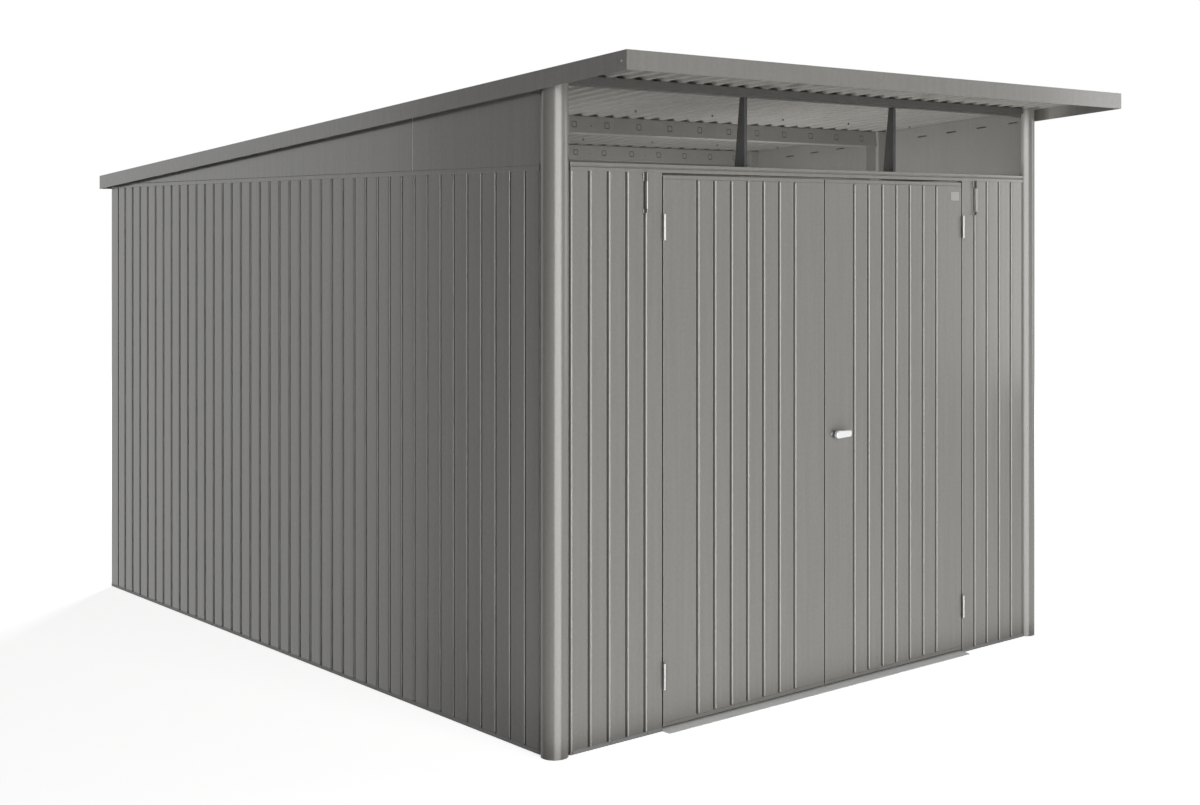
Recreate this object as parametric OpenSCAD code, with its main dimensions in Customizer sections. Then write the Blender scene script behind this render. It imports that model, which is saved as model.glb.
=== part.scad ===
// Metal storage shed: grooved sheet walls, double doors under a window strip, and a lean-to roof
// The doors face -Y, the roof falls towards +Y, and the origin is on the ground below the roof's middle

/* [Walls] */
// Width of one wall panel
panel_w = 400; // [340:1:460]
// Number of panels along each side wall
side_panels = 8; // [7:1:10]
// Number of panels across the back wall
back_panels = 6; // [6:1:8]
// Width kept for a corner post, from the wall's outer plane to the first panel
corner_w = 69; // [66:1:76]
// Height of the panels' top edge
panel_top = 1871; // [1700:1:1900]
// Thickness of the wall and roof sheet
sheet = 1; // [0.8:0.1:1.4]
// Depth of a panel's turned edge
panel_edge = 24; // [20:1:30]
// Clearance between neighbouring panels
seam = 0.6; // [0.4:0.1:1]

/* [Grooves] */
// Number of grooves across one panel, and of ribs across one roof sheet
panel_grooves = 5; // [4:1:6]
// Width of a groove at its mouth
groove_w = 15; // [12:0.5:18]
// Width of a groove's floor
groove_floor = 9; // [6:0.5:11]
// Depth of a groove
groove_d = 10; // [7:0.5:12]

/* [Base] */
// Height of the base rail below the panels
base_h = 12; // [10:0.5:16]
// Height of the base rail's upstand behind the panels
base_upstand = 40; // [30:1:60]
// Thickness of the rails and profiles
rail_t = 2; // [1.5:0.1:3]
// How far a rail stands out from the panels' faces
rail_proud = 1; // [0.5:0.1:2]
// Distance of the threshold plates' top below the panels' lower edge
threshold_step = 5; // [4:0.5:6]
// How far the threshold plates reach in front of the doors
threshold_reach = 38; // [25:1:60]
// Thickness of the threshold plates' outer edge
threshold_lip = 2; // [1.5:0.1:4]

/* [Corner posts] */
// Diameter of the round front posts
post_d = 90; // [80:1:92]
// Distance of a front post's axis behind the front and side planes
post_inset = 27; // [25:0.5:29]
// Wall of the posts
post_t = 2.5; // [1.5:0.1:4]

/* [Top rails, window and gables] */
// Height of the rail on the side walls
wall_rail_h = 17; // [14:0.5:22]
// Height of the lintel over the doors
lintel_h = 28; // [25:0.5:36]
// Depth of the lintel and of the header
lintel_d = 40; // [36:1:60]
// Height of the window strip's clear opening
window_h = 246; // [180:1:260]
// Height of the shadow gap between the header's lip and its face
header_gap = 9.5; // [7:0.5:13]
// Height of the header's face, up to the underside of the roof
header_h = 21.8; // [18:0.1:40]
// Height of the rail on the back wall, up to the underside of the roof
back_rail_h = 48.4; // [44:0.1:80]
// Thickness of the window pane
pane_t = 3; // [2:0.5:3.5]
// Depth of the window brackets at their feet
bracket_foot = 50; // [40:1:70]
// Depth of the window brackets at their tops
bracket_top = 24; // [18:1:30]
// Width of the window brackets
bracket_w = 14; // [10:1:20]
// Distance between the vent slots in the gables
slot_pitch = 160; // [120:1:200]
// Length of a vent slot
slot_l = 52; // [40:1:60]
// Height of a vent slot
slot_h = 5; // [3:0.5:6]
// Distance of the vent slots below the roof's upper edge
slot_drop = 58; // [50:1:60]

/* [Doors] */
// Number of panel widths that the doorway takes
doorway_panels = 4; // [3:1:5]
// Width that the doorway has beyond those panels
doorway_extra = 5; // [2:1:10]
// Clearance round the door leaves
door_gap = 5.5; // [5:0.1:8]
// Clearance below the door leaves
door_foot_gap = 6; // [5:0.1:8]
// Depth of a door leaf
leaf_d = 26; // [22:1:32]
// Height of the flat rim above and below the leaf's grooves
leaf_rim = 14; // [10:1:30]
// Number of grooves on a leaf
leaf_grooves = 7; // [5:1:8]
// Height of the stiffening rails inside a leaf
leaf_rail_h = 60; // [40:1:90]
// Height of the lower hinge's middle
low_hinge_z = 185; // [150:1:300]
// Distance of the upper hinge's middle below the panels' top edge
high_hinge_drop = 182; // [150:1:300]
// Length of a hinge
hinge_l = 88; // [60:1:120]
// Outer diameter of a hinge knuckle
knuckle_d = 13; // [10:0.5:14]
// Distance of the hinge axis in front of the leaf
hinge_out = 8; // [7.5:0.1:9]
// Diameter of the hinge pin
pin_d = 7; // [5:0.5:8]
// Radial clearance of the pins
pin_gap = 0.05; // [0.02:0.01:0.1]
// Axial clearance between the knuckles
knuckle_gap = 0.5; // [0.4:0.1:1]

/* [Handle and door stays] */
// Height of the handle's axis
handle_z = 928; // [850:1:1050]
// Distance of the handle's axis from the doorway's middle
handle_x = 48; // [40:1:70]
// Length of the handle from its axis to its tip
handle_l = 68; // [50:1:80]
// Height of the handle at its axis
handle_h = 28; // [24:1:34]
// Height of the handle at its tip
handle_tip_h = 24; // [18:1:28]
// Depth of the handle's grip
handle_d = 15; // [10:1:20]
// Diameter of the handle's neck
neck_d = 30; // [26:1:36]
// Length of the handle's neck
neck_l = 14; // [10:1:24]
// Diameter of the spindle
spindle_d = 10; // [8:1:12]
// Diameter of the door stay's rod
stay_d = 6; // [4:0.5:8]
// Length of the door stay, clips included
stay_l = 134; // [100:1:160]
// Distance of the door stay's rod in front of the panel
stay_out = 11; // [8:0.5:14]
// Height of the stay's upper clip
stay_clip_h = 28; // [16:1:34]
// Height of the stay's lower clip
stay_foot_h = 13; // [8:1:20]
// Width of the stay's clips
stay_clip_w = 22; // [17:1:30]

/* [Roof] */
// Overhang of the roof in front of the wall
roof_front = 395; // [200:1:500]
// Overhang of the roof behind the wall
roof_back = 60; // [50:1:100]
// Overhang of the roof beside the walls
roof_side = 34; // [30:1:60]
// Height of the fascia boards
fascia_h = 61; // [50:1:64]
// Thickness of the fascia
fascia_t = 2; // [1.5:0.1:3]
// Width of the fascia's flange over the roof
fascia_flange = 40; // [30:1:60]
// Length of the front fascia's turned ends
fascia_return = 8; // [6:0.5:14]
// Length of the back fascia's corner returns
fascia_corner = 84; // [60:1:120]
// Height of the roof sheet's ribs
rib_h = 10; // [8:0.5:14]
// Width of a rib at its base
rib_base = 62; // [56:1:66]
// Width of a rib at its top
rib_top = 48; // [42:1:52]
// Gap between the roof sheets and the fascia
roof_gap = 0.3; // [0.2:0.1:0.6]

/* [Roof beams] */
// Height of a beam
beam_h = 66; // [50:1:80]
// Width of a beam's flanges
beam_flange = 40; // [30:1:60]
// Height of a beam's lips
beam_lip = 12; // [8:1:16]
// Width of the columns that carry the beams
column_w = 51; // [40:1:60]
// Depth of the columns
column_d = 50; // [44:1:70]
// Distance that a column stands forward of its beam
column_lead = 16; // [10:1:30]
// Width of the gusset plate under a beam's end
gusset_w = 64; // [40:1:90]
// Height of the gusset plate
gusset_h = 130; // [80:1:140]

/* [Hidden] */
$fn = 64;

paint = "#8b8983";
zinc = "#c9cac8";
dark = "#55534f";
clear = "#c8d2d4";

// Overall sizes, and the places of the wall planes
wall_w = back_panels * panel_w + 2 * corner_w;
wall_d = side_panels * panel_w + 2 * corner_w;
roof_w = wall_w + 2 * roof_side;
roof_d = wall_d + roof_front + roof_back;
front_y = -roof_d / 2 + roof_front;
back_y = front_y + wall_d;
side_x = wall_w / 2;
groove_pitch = panel_w / panel_grooves;
doorway_w = doorway_panels * panel_w + doorway_extra;
threshold_h = base_h - threshold_step;
over = 1;

// A roof beam stands at every second panel, and the gable sheets meet at the first beam
beam_count = 3;
beam_pitch = 2 * panel_w;
gable_seam = beam_pitch;

rail_d = panel_edge + rail_t;
wall_rail_top = panel_top + wall_rail_h;
lintel_top = panel_top + lintel_h;
lip_z = lintel_top + window_h;
face_z = lip_z + header_gap;

// The roof sheet's underside lies on the header at the front and on the rail at the back
front_under = face_z + header_h;
back_under = panel_top + back_rail_h;
roof_fall = (front_under - back_under) / wall_d;
roof_pitch = atan(roof_fall);
function roof_under(y) = front_under - (y - front_y) * roof_fall;

// The fascia's flange lies over the roof sheet, and its upper face is the roof's upper edge
under_drop = (fascia_t + rib_h + sheet) / cos(roof_pitch) + roof_gap;
function roof_line(y) = roof_under(y) + under_drop;
roof_z = roof_line(-roof_d / 2);

front_inner_w = wall_w - 2 * corner_w - seam;

// The pane stands behind the lintel's bead, and the brackets stand behind the pane
lintel_proud = 3;
bead_v = 1.5;
bead_drop = 10;
recess_drop = 16;
pane_v = 4.5;
pane_fit = 0.5;
lip_v = pane_v + pane_t + pane_fit;

// Doors and hinges
front_panel_w = (wall_w - doorway_w) / 2 - corner_w;
leaf_z = threshold_h + door_foot_gap;
leaf_top = panel_top - door_gap - over;
leaf_h = leaf_top - leaf_z;
leaf_w = doorway_w / 2 - door_gap - door_gap / 2;
hinge_x = doorway_w / 2 - door_gap / 2;
hinge_y = front_y - hinge_out;
leaf_t = 1.5;
hinge_plate = 2;
hinge_reach = 18;
leaf_rail_d = 12;
high_hinge_z = panel_top - high_hinge_drop;
leaf_rail_zs = [low_hinge_z, handle_z, high_hinge_z];

// Places of the first vent slot and of the handle's and stays' parts
first_slot = 100;
slot_margin = 12;
neck_gap = 0.4;
stay_x = doorway_w / 2 + front_panel_w - groove_pitch * floor((front_panel_w - groove_w) / groove_pitch);

// Points of one fold across a sheet, on its outer face and on its inner face
function fold_out(c, wide, narrow, depth) =
    [[c - wide / 2, 0], [c - narrow / 2, depth], [c + narrow / 2, depth], [c + wide / 2, 0]];
function fold_shift(wide, narrow, depth, t) = t * tan(atan2(depth, (wide - narrow) / 2) / 2);
function fold_in(c, wide, narrow, depth, t) =
    let (k = fold_shift(wide, narrow, depth, t))
    [[c + wide / 2 + k, t], [c + narrow / 2 + k, depth + t],
     [c - narrow / 2 - k, depth + t], [c - wide / 2 - k, t]];

function groove_out(c) = fold_out(c, groove_w, groove_floor, groove_d);
function groove_in(c) = fold_in(c, groove_w, groove_floor, groove_d, sheet);

// Outline of a wall panel: half a groove and a turned edge at its start, and the same or a plain edge
// at its end
function panel_outline(w, plain_end) =
    let (s = seam / 2,
         k = fold_shift(groove_w, groove_floor, groove_d, sheet),
         last = plain_end ? floor((w - groove_w) / groove_pitch) : round(w / groove_pitch) - 1,
         centres = [for (i = [1 : 1 : last]) i * groove_pitch])
    concat(
        [[s, panel_edge], [s, groove_d], [groove_floor / 2, groove_d], [groove_w / 2, 0]],
        [for (c = centres) each groove_out(c)],
        plain_end ? [[w, 0], [w, panel_edge], [w - sheet, panel_edge], [w - sheet, sheet]]
                  : [[w - groove_w / 2, 0], [w - groove_floor / 2, groove_d], [w - s, groove_d],
                     [w - s, panel_edge], [w - s - sheet, panel_edge], [w - s - sheet, groove_d + sheet],
                     [w - groove_floor / 2 - k, groove_d + sheet], [w - groove_w / 2 - k, sheet]],
        [for (i = [len(centres) - 1 : -1 : 0]) each groove_in(centres[i])],
        [[groove_w / 2 + k, sheet], [groove_floor / 2 + k, groove_d + sheet],
         [s + sheet, groove_d + sheet], [s + sheet, panel_edge]]);

// Places a wall that is drawn with its length along X, its depth along +Y and its outer face at Y = 0
module at_front() { translate([-side_x, front_y, 0]) children(); }
module at_left() { translate([-side_x, front_y, 0]) mirror([1, -1, 0]) children(); }
module at_right() { mirror([1, 0, 0]) at_left() children(); }
module at_back() { translate([-side_x, back_y, 0]) mirror([0, 1, 0]) children(); }
module both_sides() {
    children();
    mirror([1, 0, 0]) children();
}

// Places what is drawn in the roof's own slope, with its underside at Z = 0 and the front edge at Y = 0
module on_slope() {
    translate([0, -roof_d / 2, roof_z - under_drop]) rotate([-roof_pitch, 0, 0]) children();
}

// Everything above the underside of the roof sheet
module above_roof() {
    on_slope() translate([-roof_w, -roof_d, 0]) cube([2 * roof_w, 4 * roof_d, roof_z]);
}

// A profile drawn in Y and Z, drawn out along X
module along_x(l) { rotate([90, 0, 90]) linear_extrude(l) children(); }

// Base and threshold: a flat box rail below the panels, with an upstand behind them
module base_rail(l, upstand_l) {
    depth = rail_d + rail_proud;
    along_x(l) difference() {
        translate([-rail_proud, 0]) square([depth, base_h]);
        translate([rail_t - rail_proud, rail_t]) square([depth - 2 * rail_t, base_h - 2 * rail_t]);
    }
    translate([0, panel_edge, 0]) cube([upstand_l, rail_t, base_upstand]);
}
module base_rail_side() {
    l = wall_d - corner_w - seam;
    translate([corner_w + seam, 0, 0]) base_rail(l, l - rail_d);
}
module base_rail_left() { color(zinc) at_left() base_rail_side(); }
module base_rail_right() { color(zinc) at_right() base_rail_side(); }
module base_rail_back() {
    l = wall_w - 2 * rail_d;
    color(zinc) at_back() translate([rail_d, 0, 0]) base_rail(l, l);
}
module base_rail_front() {
    l = front_panel_w - seam;
    color(zinc) both_sides() at_front() translate([corner_w + seam, 0, 0]) base_rail(l, l);
}
module threshold_plate() {
    color(zinc) translate([-doorway_w / 2, front_y, 0]) along_x(doorway_w / 2 - seam / 2)
        polygon([[-threshold_reach, 0], [rail_d, 0], [rail_d, threshold_h], [0, threshold_h],
            [-threshold_reach, threshold_lip]]);
}
module threshold_plate_left() { threshold_plate(); }
module threshold_plate_right() { mirror([1, 0, 0]) threshold_plate(); }

// Corner posts: round at the front with flat seats for the panels, and square folded sheet at the back.
// Beside the window the round posts are notched on their inner side, where the gable's sheet laps in
module post_core(grow) {
    seat = corner_w - seam - grow;
    intersection() {
        translate([post_inset, post_inset, 0]) cylinder(d = post_d - 2 * grow, h = roof_z);
        translate([seat - post_d, seat - post_d, 0]) cube([post_d, post_d, roof_z]);
    }
}
module window_notch() { translate([-seam, lip_v, lintel_top]) cube([corner_w + seam, corner_w, window_h]); }
module front_post() {
    color(paint) difference() {
        at_front() difference() {
            post_core(0);
            translate([0, 0, -over]) post_core(post_t);
            window_notch();
        }
        above_roof();
    }
}
module front_left_post() { front_post(); }
module front_right_post() { mirror([1, 0, 0]) front_post(); }
module back_post() {
    leg = corner_w - seam;
    color(paint) at_left() translate([wall_d, 0, base_h]) linear_extrude(panel_top - base_h)
        polygon([[0, 0], [-leg, 0], [-leg, panel_edge], [-leg + sheet, panel_edge],
            [-leg + sheet, sheet], [-sheet, sheet], [-sheet, leg - sheet],
            [-panel_edge, leg - sheet], [-panel_edge, leg], [0, leg]]);
}
module back_left_post() { back_post(); }
module back_right_post() { mirror([1, 0, 0]) back_post(); }

// Wall panels
module wall_panels(count) {
    for (i = [0 : count - 1])
        translate([corner_w + i * panel_w, 0, base_h])
            linear_extrude(panel_top - base_h) polygon(panel_outline(panel_w, false));
}
module left_wall_panels() { color(paint) at_left() wall_panels(side_panels); }
module right_wall_panels() { color(paint) at_right() wall_panels(side_panels); }
module back_wall_panels() { color(paint) at_back() wall_panels(back_panels); }
module front_panel() {
    color(paint) at_front() translate([corner_w, 0, base_h])
        linear_extrude(panel_top - base_h) polygon(panel_outline(front_panel_w, true));
}
module front_left_panel() { front_panel(); }
module front_right_panel() { mirror([1, 0, 0]) front_panel(); }

// Rails on top of the walls, and the lintel that carries the window
module side_rail() {
    translate([corner_w + seam, 0, panel_top]) along_x(wall_d - corner_w - seam) difference() {
        translate([-rail_proud, 0]) square([rail_d + rail_proud, wall_rail_h]);
        translate([rail_t - rail_proud, rail_t])
            square([rail_d + rail_proud - 2 * rail_t, wall_rail_h - 2 * rail_t]);
    }
}
module left_wall_rail() { color(paint) at_left() side_rail(); }
module right_wall_rail() { color(paint) at_right() side_rail(); }
module back_wall_rail() {
    l = wall_w - 2 * rail_d;
    depth = rail_d + rail_proud;
    color(paint) difference() {
        translate([-l / 2, back_y - rail_d, panel_top]) cube([l, depth, roof_z - panel_top]);
        translate([-l / 2 - over, back_y - rail_d + rail_t, panel_top + rail_t])
            cube([l + 2 * over, depth - 2 * rail_t, back_rail_h - 2 * rail_t]);
        above_roof();
    }
}
module front_lintel() {
    color(paint) translate([-front_inner_w / 2, front_y, 0]) along_x(front_inner_w) difference() {
        polygon([[-lintel_proud, panel_top], [lintel_d, panel_top], [lintel_d, lintel_top],
            [bead_v - lintel_proud, lintel_top], [bead_v - lintel_proud, lintel_top - bead_drop],
            [bead_v, lintel_top - bead_drop - bead_v], [bead_v, lintel_top - recess_drop + bead_v],
            [-lintel_proud, lintel_top - recess_drop]]);
        translate([bead_v + rail_t, panel_top + rail_t])
            square([lintel_d - bead_v - 2 * rail_t, lintel_h - 2 * rail_t]);
    }
}

// Gable sheets between the side rails and the roof, in two lengths, with vent slots behind the fascia. The
// front one has no turned edge at the post, but laps into its notch
module gable(from, to, lap) {
    turned = lap > 0 ? [to - sheet] : [from, to - sheet];
    color(paint) difference() {
        at_left() {
            translate([from, 0, wall_rail_top]) cube([to - from, sheet, roof_z - wall_rail_top]);
            translate([from, 0, wall_rail_top]) cube([to - from, panel_edge, sheet]);
            for (u = turned)
                translate([u, 0, wall_rail_top]) cube([sheet, panel_edge, roof_z - wall_rail_top]);
            if (lap > 0)
                translate([from - lap, 0, lintel_top + seam])
                    cube([lap + sheet, sheet, window_h - 2 * seam]);
        }
        above_roof();
        for (u = [first_slot : slot_pitch : wall_d]) {
            y = front_y + u;
            z = roof_line(y) - slot_drop;
            clear_ends = u - slot_l / 2 > from - lap + slot_margin && u + slot_l / 2 < to - slot_margin;
            nearest = min([for (b = [1 : beam_count]) abs(u - b * beam_pitch)]);
            clear_beams = nearest > slot_l / 2 + column_d;
            if (clear_ends && clear_beams && z - slot_h > wall_rail_top + slot_margin)
                translate([-side_x, y, z]) rotate([-roof_pitch, 0, 0])
                    cube([4 * sheet, slot_l, slot_h], center = true);
        }
    }
}
module gable_front() { gable(corner_w + seam, gable_seam - seam / 2, corner_w - lip_v); }
module gable_rear() { gable(gable_seam + seam / 2, wall_d, 0); }
module left_gable_front() { gable_front(); }
module left_gable_rear() { gable_rear(); }
module right_gable_front() { mirror([1, 0, 0]) gable_front(); }
module right_gable_rear() { mirror([1, 0, 0]) gable_rear(); }

// Window strip
module window_pane() {
    color(clear) translate([-front_inner_w / 2, front_y + pane_v, lintel_top])
        cube([front_inner_w, pane_t, window_h + header_gap / 2]);
}
module window_bracket() {
    foot = lip_v + bracket_foot;
    top = lip_v + bracket_top;
    translate([panel_w - bracket_w / 2, front_y, 0]) difference() {
        along_x(bracket_w)
            polygon([[lip_v, lintel_top], [foot, lintel_top], [top, lip_z], [lip_v, lip_z]]);
        translate([rail_t, 0, 0]) along_x(bracket_w)
            polygon([[lip_v + rail_t, lintel_top + rail_t], [foot - 2 * rail_t, lintel_top + rail_t],
                [top - rail_t, lip_z - rail_t], [lip_v + rail_t, lip_z - rail_t]]);
    }
}
module window_brackets() {
    color(dark) {
        window_bracket();
        translate([-2 * panel_w, 0, 0]) window_bracket();
    }
}
module front_header() {
    color(paint) difference() {
        translate([-front_inner_w / 2, front_y, 0]) along_x(front_inner_w) difference() {
            polygon([[-lintel_proud, face_z], [-lintel_proud, roof_z], [lintel_d, roof_z],
                [lintel_d, lip_z], [lip_v, lip_z], [lip_v, face_z]]);
            polygon([[lip_v + rail_t, lip_z + rail_t], [lintel_d - rail_t, lip_z + rail_t],
                [lintel_d - rail_t, roof_under(front_y + lintel_d) - rail_t],
                [lip_v + rail_t, roof_under(front_y + lintel_d) - rail_t]]);
        }
        above_roof();
    }
}

// Roof sheets, each as wide as a wall panel, and the outer two wide enough to reach the fascia
function roof_outline(from, to) =
    let (first = ceil((from + rib_base / 2 + sheet) / groove_pitch - 0.5),
         last = floor((to - rib_base / 2 - sheet) / groove_pitch - 0.5),
         centres = [for (i = [first : 1 : last]) (i + 0.5) * groove_pitch])
    concat([[from, 0]], [for (c = centres) each fold_out(c, rib_base, rib_top, rib_h)],
        [[to, 0], [to, sheet]],
        [for (i = [len(centres) - 1 : -1 : 0]) each fold_in(centres[i], rib_base, rib_top, rib_h, sheet)],
        [[from, sheet]]);
module roof_sheets() {
    edge = roof_w / 2 - fascia_t - roof_gap;
    start = (fascia_t + roof_gap + rib_h * roof_fall) / cos(roof_pitch);
    l = (roof_d - 2 * fascia_t - 2 * roof_gap) / cos(roof_pitch) - 2 * rib_h * roof_fall;
    color(paint) for (i = [0 : back_panels - 1]) {
        left = (i - back_panels / 2) * panel_w;
        from = i == 0 ? -edge : left + seam / 2;
        to = i == back_panels - 1 ? edge : left + panel_w - seam / 2;
        on_slope() translate([0, start + l, 0]) rotate([90, 0, 0])
            linear_extrude(l) polygon(roof_outline(from, to));
    }
}

// Beams under the roof, folded as lipped channels that open to the back, on columns in the side walls
module roof_beam(number) {
    beam_l = wall_w - 2 * (sheet + 2 * seam + column_w);
    y = (roof_front + number * beam_pitch) / cos(roof_pitch);
    color(paint) on_slope() translate([-beam_l / 2, y, -beam_h]) along_x(beam_l)
        polygon([[0, 0], [beam_flange, 0], [beam_flange, beam_lip], [beam_flange - rail_t, beam_lip],
            [beam_flange - rail_t, rail_t], [rail_t, rail_t], [rail_t, beam_h - rail_t],
            [beam_flange - rail_t, beam_h - rail_t], [beam_flange - rail_t, beam_h - beam_lip],
            [beam_flange, beam_h - beam_lip], [beam_flange, beam_h], [0, beam_h]]);
}
module front_roof_beam() { roof_beam(1); }
module middle_roof_beam() { roof_beam(2); }
module rear_roof_beam() { roof_beam(3); }

// A column is a channel that opens to the gable, so that the gable's turned edges stand inside it
module beam_column(number) {
    u = number * beam_pitch - column_lead;
    difference() {
        at_left() translate([u, sheet + seam, wall_rail_top + sheet]) difference() {
            cube([column_d, column_w, roof_z - wall_rail_top]);
            translate([rail_t, -over, -over])
                cube([column_d - 2 * rail_t, column_w - rail_t + over, roof_z]);
        }
        above_roof();
    }
}
module beam_columns() {
    color(paint) both_sides() for (i = [1 : beam_count]) beam_column(i);
}
module beam_gussets() {
    color(paint) both_sides() for (i = [1 : beam_count]) {
        y = front_y + i * beam_pitch + rail_t;
        top = roof_under(y + rail_t) - beam_h / cos(roof_pitch) - roof_gap;
        foot = max(top - gusset_h, wall_rail_top);
        translate([-side_x + sheet + seam + column_w, y, foot]) cube([gusset_w, rail_t, top - foot]);
    }
}

// Fascia round the roof's edge, with a flange that lies over the roof sheets
module slope_strip(from, to, h, x, w) {
    translate([x, 0, 0]) along_x(w)
        polygon([[from, roof_line(from) - h], [to, roof_line(to) - h],
            [to, roof_line(to)], [from, roof_line(from)]]);
}
module fascia_front() {
    front = -roof_d / 2;
    side = fascia_t + roof_gap;
    color(paint) {
        slope_strip(front, front + fascia_t, fascia_h, -roof_w / 2, roof_w);
        slope_strip(front, front + fascia_flange, fascia_t, -roof_w / 2 + side, roof_w - 2 * side);
        both_sides() slope_strip(front, front + fascia_return, fascia_h, -roof_w / 2, fascia_t);
    }
}
module fascia_back() {
    back = roof_d / 2;
    color(paint) {
        slope_strip(back - fascia_t, back, fascia_h, -roof_w / 2, roof_w);
        slope_strip(back - fascia_flange, back, fascia_t, -roof_w / 2, roof_w);
        both_sides() slope_strip(back - fascia_corner, back, fascia_h, -roof_w / 2, fascia_t);
    }
}
module fascia_side() {
    from = -roof_d / 2;
    to = roof_d / 2;
    color(paint) {
        slope_strip(from + fascia_return + roof_gap, to - fascia_corner - roof_gap, fascia_h,
            -roof_w / 2, fascia_t);
        slope_strip(from + fascia_flange + roof_gap, to - fascia_corner - roof_gap, fascia_t,
            -roof_w / 2, fascia_flange);
    }
}
module fascia_left() { fascia_side(); }
module fascia_right() { mirror([1, 0, 0]) fascia_side(); }

// Door leaves: a folded tray with blind grooves pressed into its face
module leaf_groove(x, grow) {
    k = fold_shift(groove_w, groove_floor, groove_d, grow);
    translate([x, front_y + grow, leaf_z + leaf_rim - grow])
        linear_extrude(leaf_h - 2 * leaf_rim + 2 * grow)
            polygon([[-groove_w / 2 - k, 0], [-groove_floor / 2 - k, groove_d],
                [groove_floor / 2 + k, groove_d], [groove_w / 2 + k, 0]]);
}
function leaf_groove_x(i) = -door_gap / 2 - leaf_w / 2 + (i - (leaf_grooves - 1) / 2) * groove_pitch;
module door_leaf() {
    x = -door_gap / 2 - leaf_w;
    color(paint) difference() {
        union() {
            difference() {
                translate([x, front_y, leaf_z]) cube([leaf_w, leaf_d, leaf_h]);
                translate([x + leaf_t, front_y + leaf_t, leaf_z + leaf_t])
                    cube([leaf_w - 2 * leaf_t, leaf_d, leaf_h - 2 * leaf_t]);
            }
            for (i = [0 : leaf_grooves - 1]) leaf_groove(leaf_groove_x(i), leaf_t);
        }
        for (i = [0 : leaf_grooves - 1]) leaf_groove(leaf_groove_x(i), 0);
    }
}
module left_door_leaf() { door_leaf(); }
module right_door_leaf() { mirror([1, 0, 0]) door_leaf(); }

// Hat-shaped rails across the back of a leaf, on the backs of its grooves
module door_rails() {
    y = front_y + groove_d + leaf_t;
    color(paint) for (z = leaf_rail_zs)
        translate([-door_gap / 2 - leaf_w + leaf_t, y, z - leaf_rail_h / 2]) along_x(leaf_w - 2 * leaf_t)
            polygon([[0, 0], [leaf_t, 0], [leaf_t, leaf_rail_h / 4], [leaf_rail_d, leaf_rail_h / 4],
                [leaf_rail_d, leaf_rail_h * 3 / 4], [leaf_t, leaf_rail_h * 3 / 4], [leaf_t, leaf_rail_h],
                [0, leaf_rail_h]]);
}
module left_door_rails() { door_rails(); }
module right_door_rails() { mirror([1, 0, 0]) door_rails(); }

// Lift-off hinges: the lower knuckle carries the pin and is fixed to the wall, and the upper one
// lifts with the leaf
knuckle_h = (hinge_l - knuckle_gap) / 2;
module hinge_frames() {
    color(zinc) for (z = [low_hinge_z, high_hinge_z]) translate([-hinge_x, hinge_y, z - hinge_l / 2]) {
        cylinder(d = knuckle_d, h = knuckle_h);
        cylinder(d = pin_d, h = hinge_l - rail_t);
        translate([-door_gap / 2, 0, 0]) cube([hinge_plate, hinge_out + hinge_reach, knuckle_h]);
    }
}
module hinge_knuckles() {
    color(zinc) for (z = [low_hinge_z, high_hinge_z])
        translate([-hinge_x, hinge_y, z + hinge_l / 2 - knuckle_h]) difference() {
            union() {
                cylinder(d = knuckle_d, h = knuckle_h);
                translate([door_gap / 2 - hinge_plate, 0, 0])
                    cube([hinge_plate, hinge_out + hinge_reach, knuckle_h]);
            }
            translate([0, 0, -over]) cylinder(d = pin_d + 2 * pin_gap, h = knuckle_h + 2 * over);
        }
}
module left_hinge_frames() { hinge_frames(); }
module left_hinge_knuckles() { hinge_knuckles(); }
module right_hinge_frames() { mirror([1, 0, 0]) hinge_frames(); }
module right_hinge_knuckles() { mirror([1, 0, 0]) hinge_knuckles(); }

// Turning handle on the right leaf: a round neck with the spindle's bore, and a tapered grip
module at_handle() { translate([handle_x, front_y, handle_z]) rotate([90, 0, 0]) children(); }
module handle_base() {
    color(dark) at_handle() difference() {
        cylinder(d = neck_d, h = neck_l);
        translate([0, 0, -over]) cylinder(d = spindle_d + 2 * pin_gap, h = neck_l + 2 * over);
    }
}
module door_handle() {
    tip = handle_l - handle_tip_h / 2;
    color(zinc) at_handle() {
        translate([0, 0, neck_l + neck_gap]) {
            cylinder(d = handle_h, h = handle_d);
            translate([tip, 0, 0]) cylinder(d = handle_tip_h, h = handle_d);
            linear_extrude(handle_d)
                polygon([[0, -handle_h / 2], [tip, -handle_tip_h / 2],
                    [tip, handle_tip_h / 2], [0, handle_h / 2]]);
        }
        translate([0, 0, neck_gap]) cylinder(d = spindle_d, h = neck_l + neck_gap);
    }
}

// Door stays: a short rod in two clips, on the groove beside each door
module door_stay() {
    top = panel_top - seam;
    foot = top - stay_l;
    clip = stay_out + stay_d;
    translate([-stay_x, front_y, 0]) {
        translate([0, -stay_out, foot]) cylinder(d = stay_d, h = stay_l);
        translate([-stay_clip_w / 2, -clip, top - stay_clip_h]) cube([stay_clip_w, clip, stay_clip_h]);
        translate([-stay_clip_w / 2, -clip, foot]) cube([stay_clip_w, clip, stay_foot_h]);
    }
}
module door_stays() { color(zinc) both_sides() door_stay(); }

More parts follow.
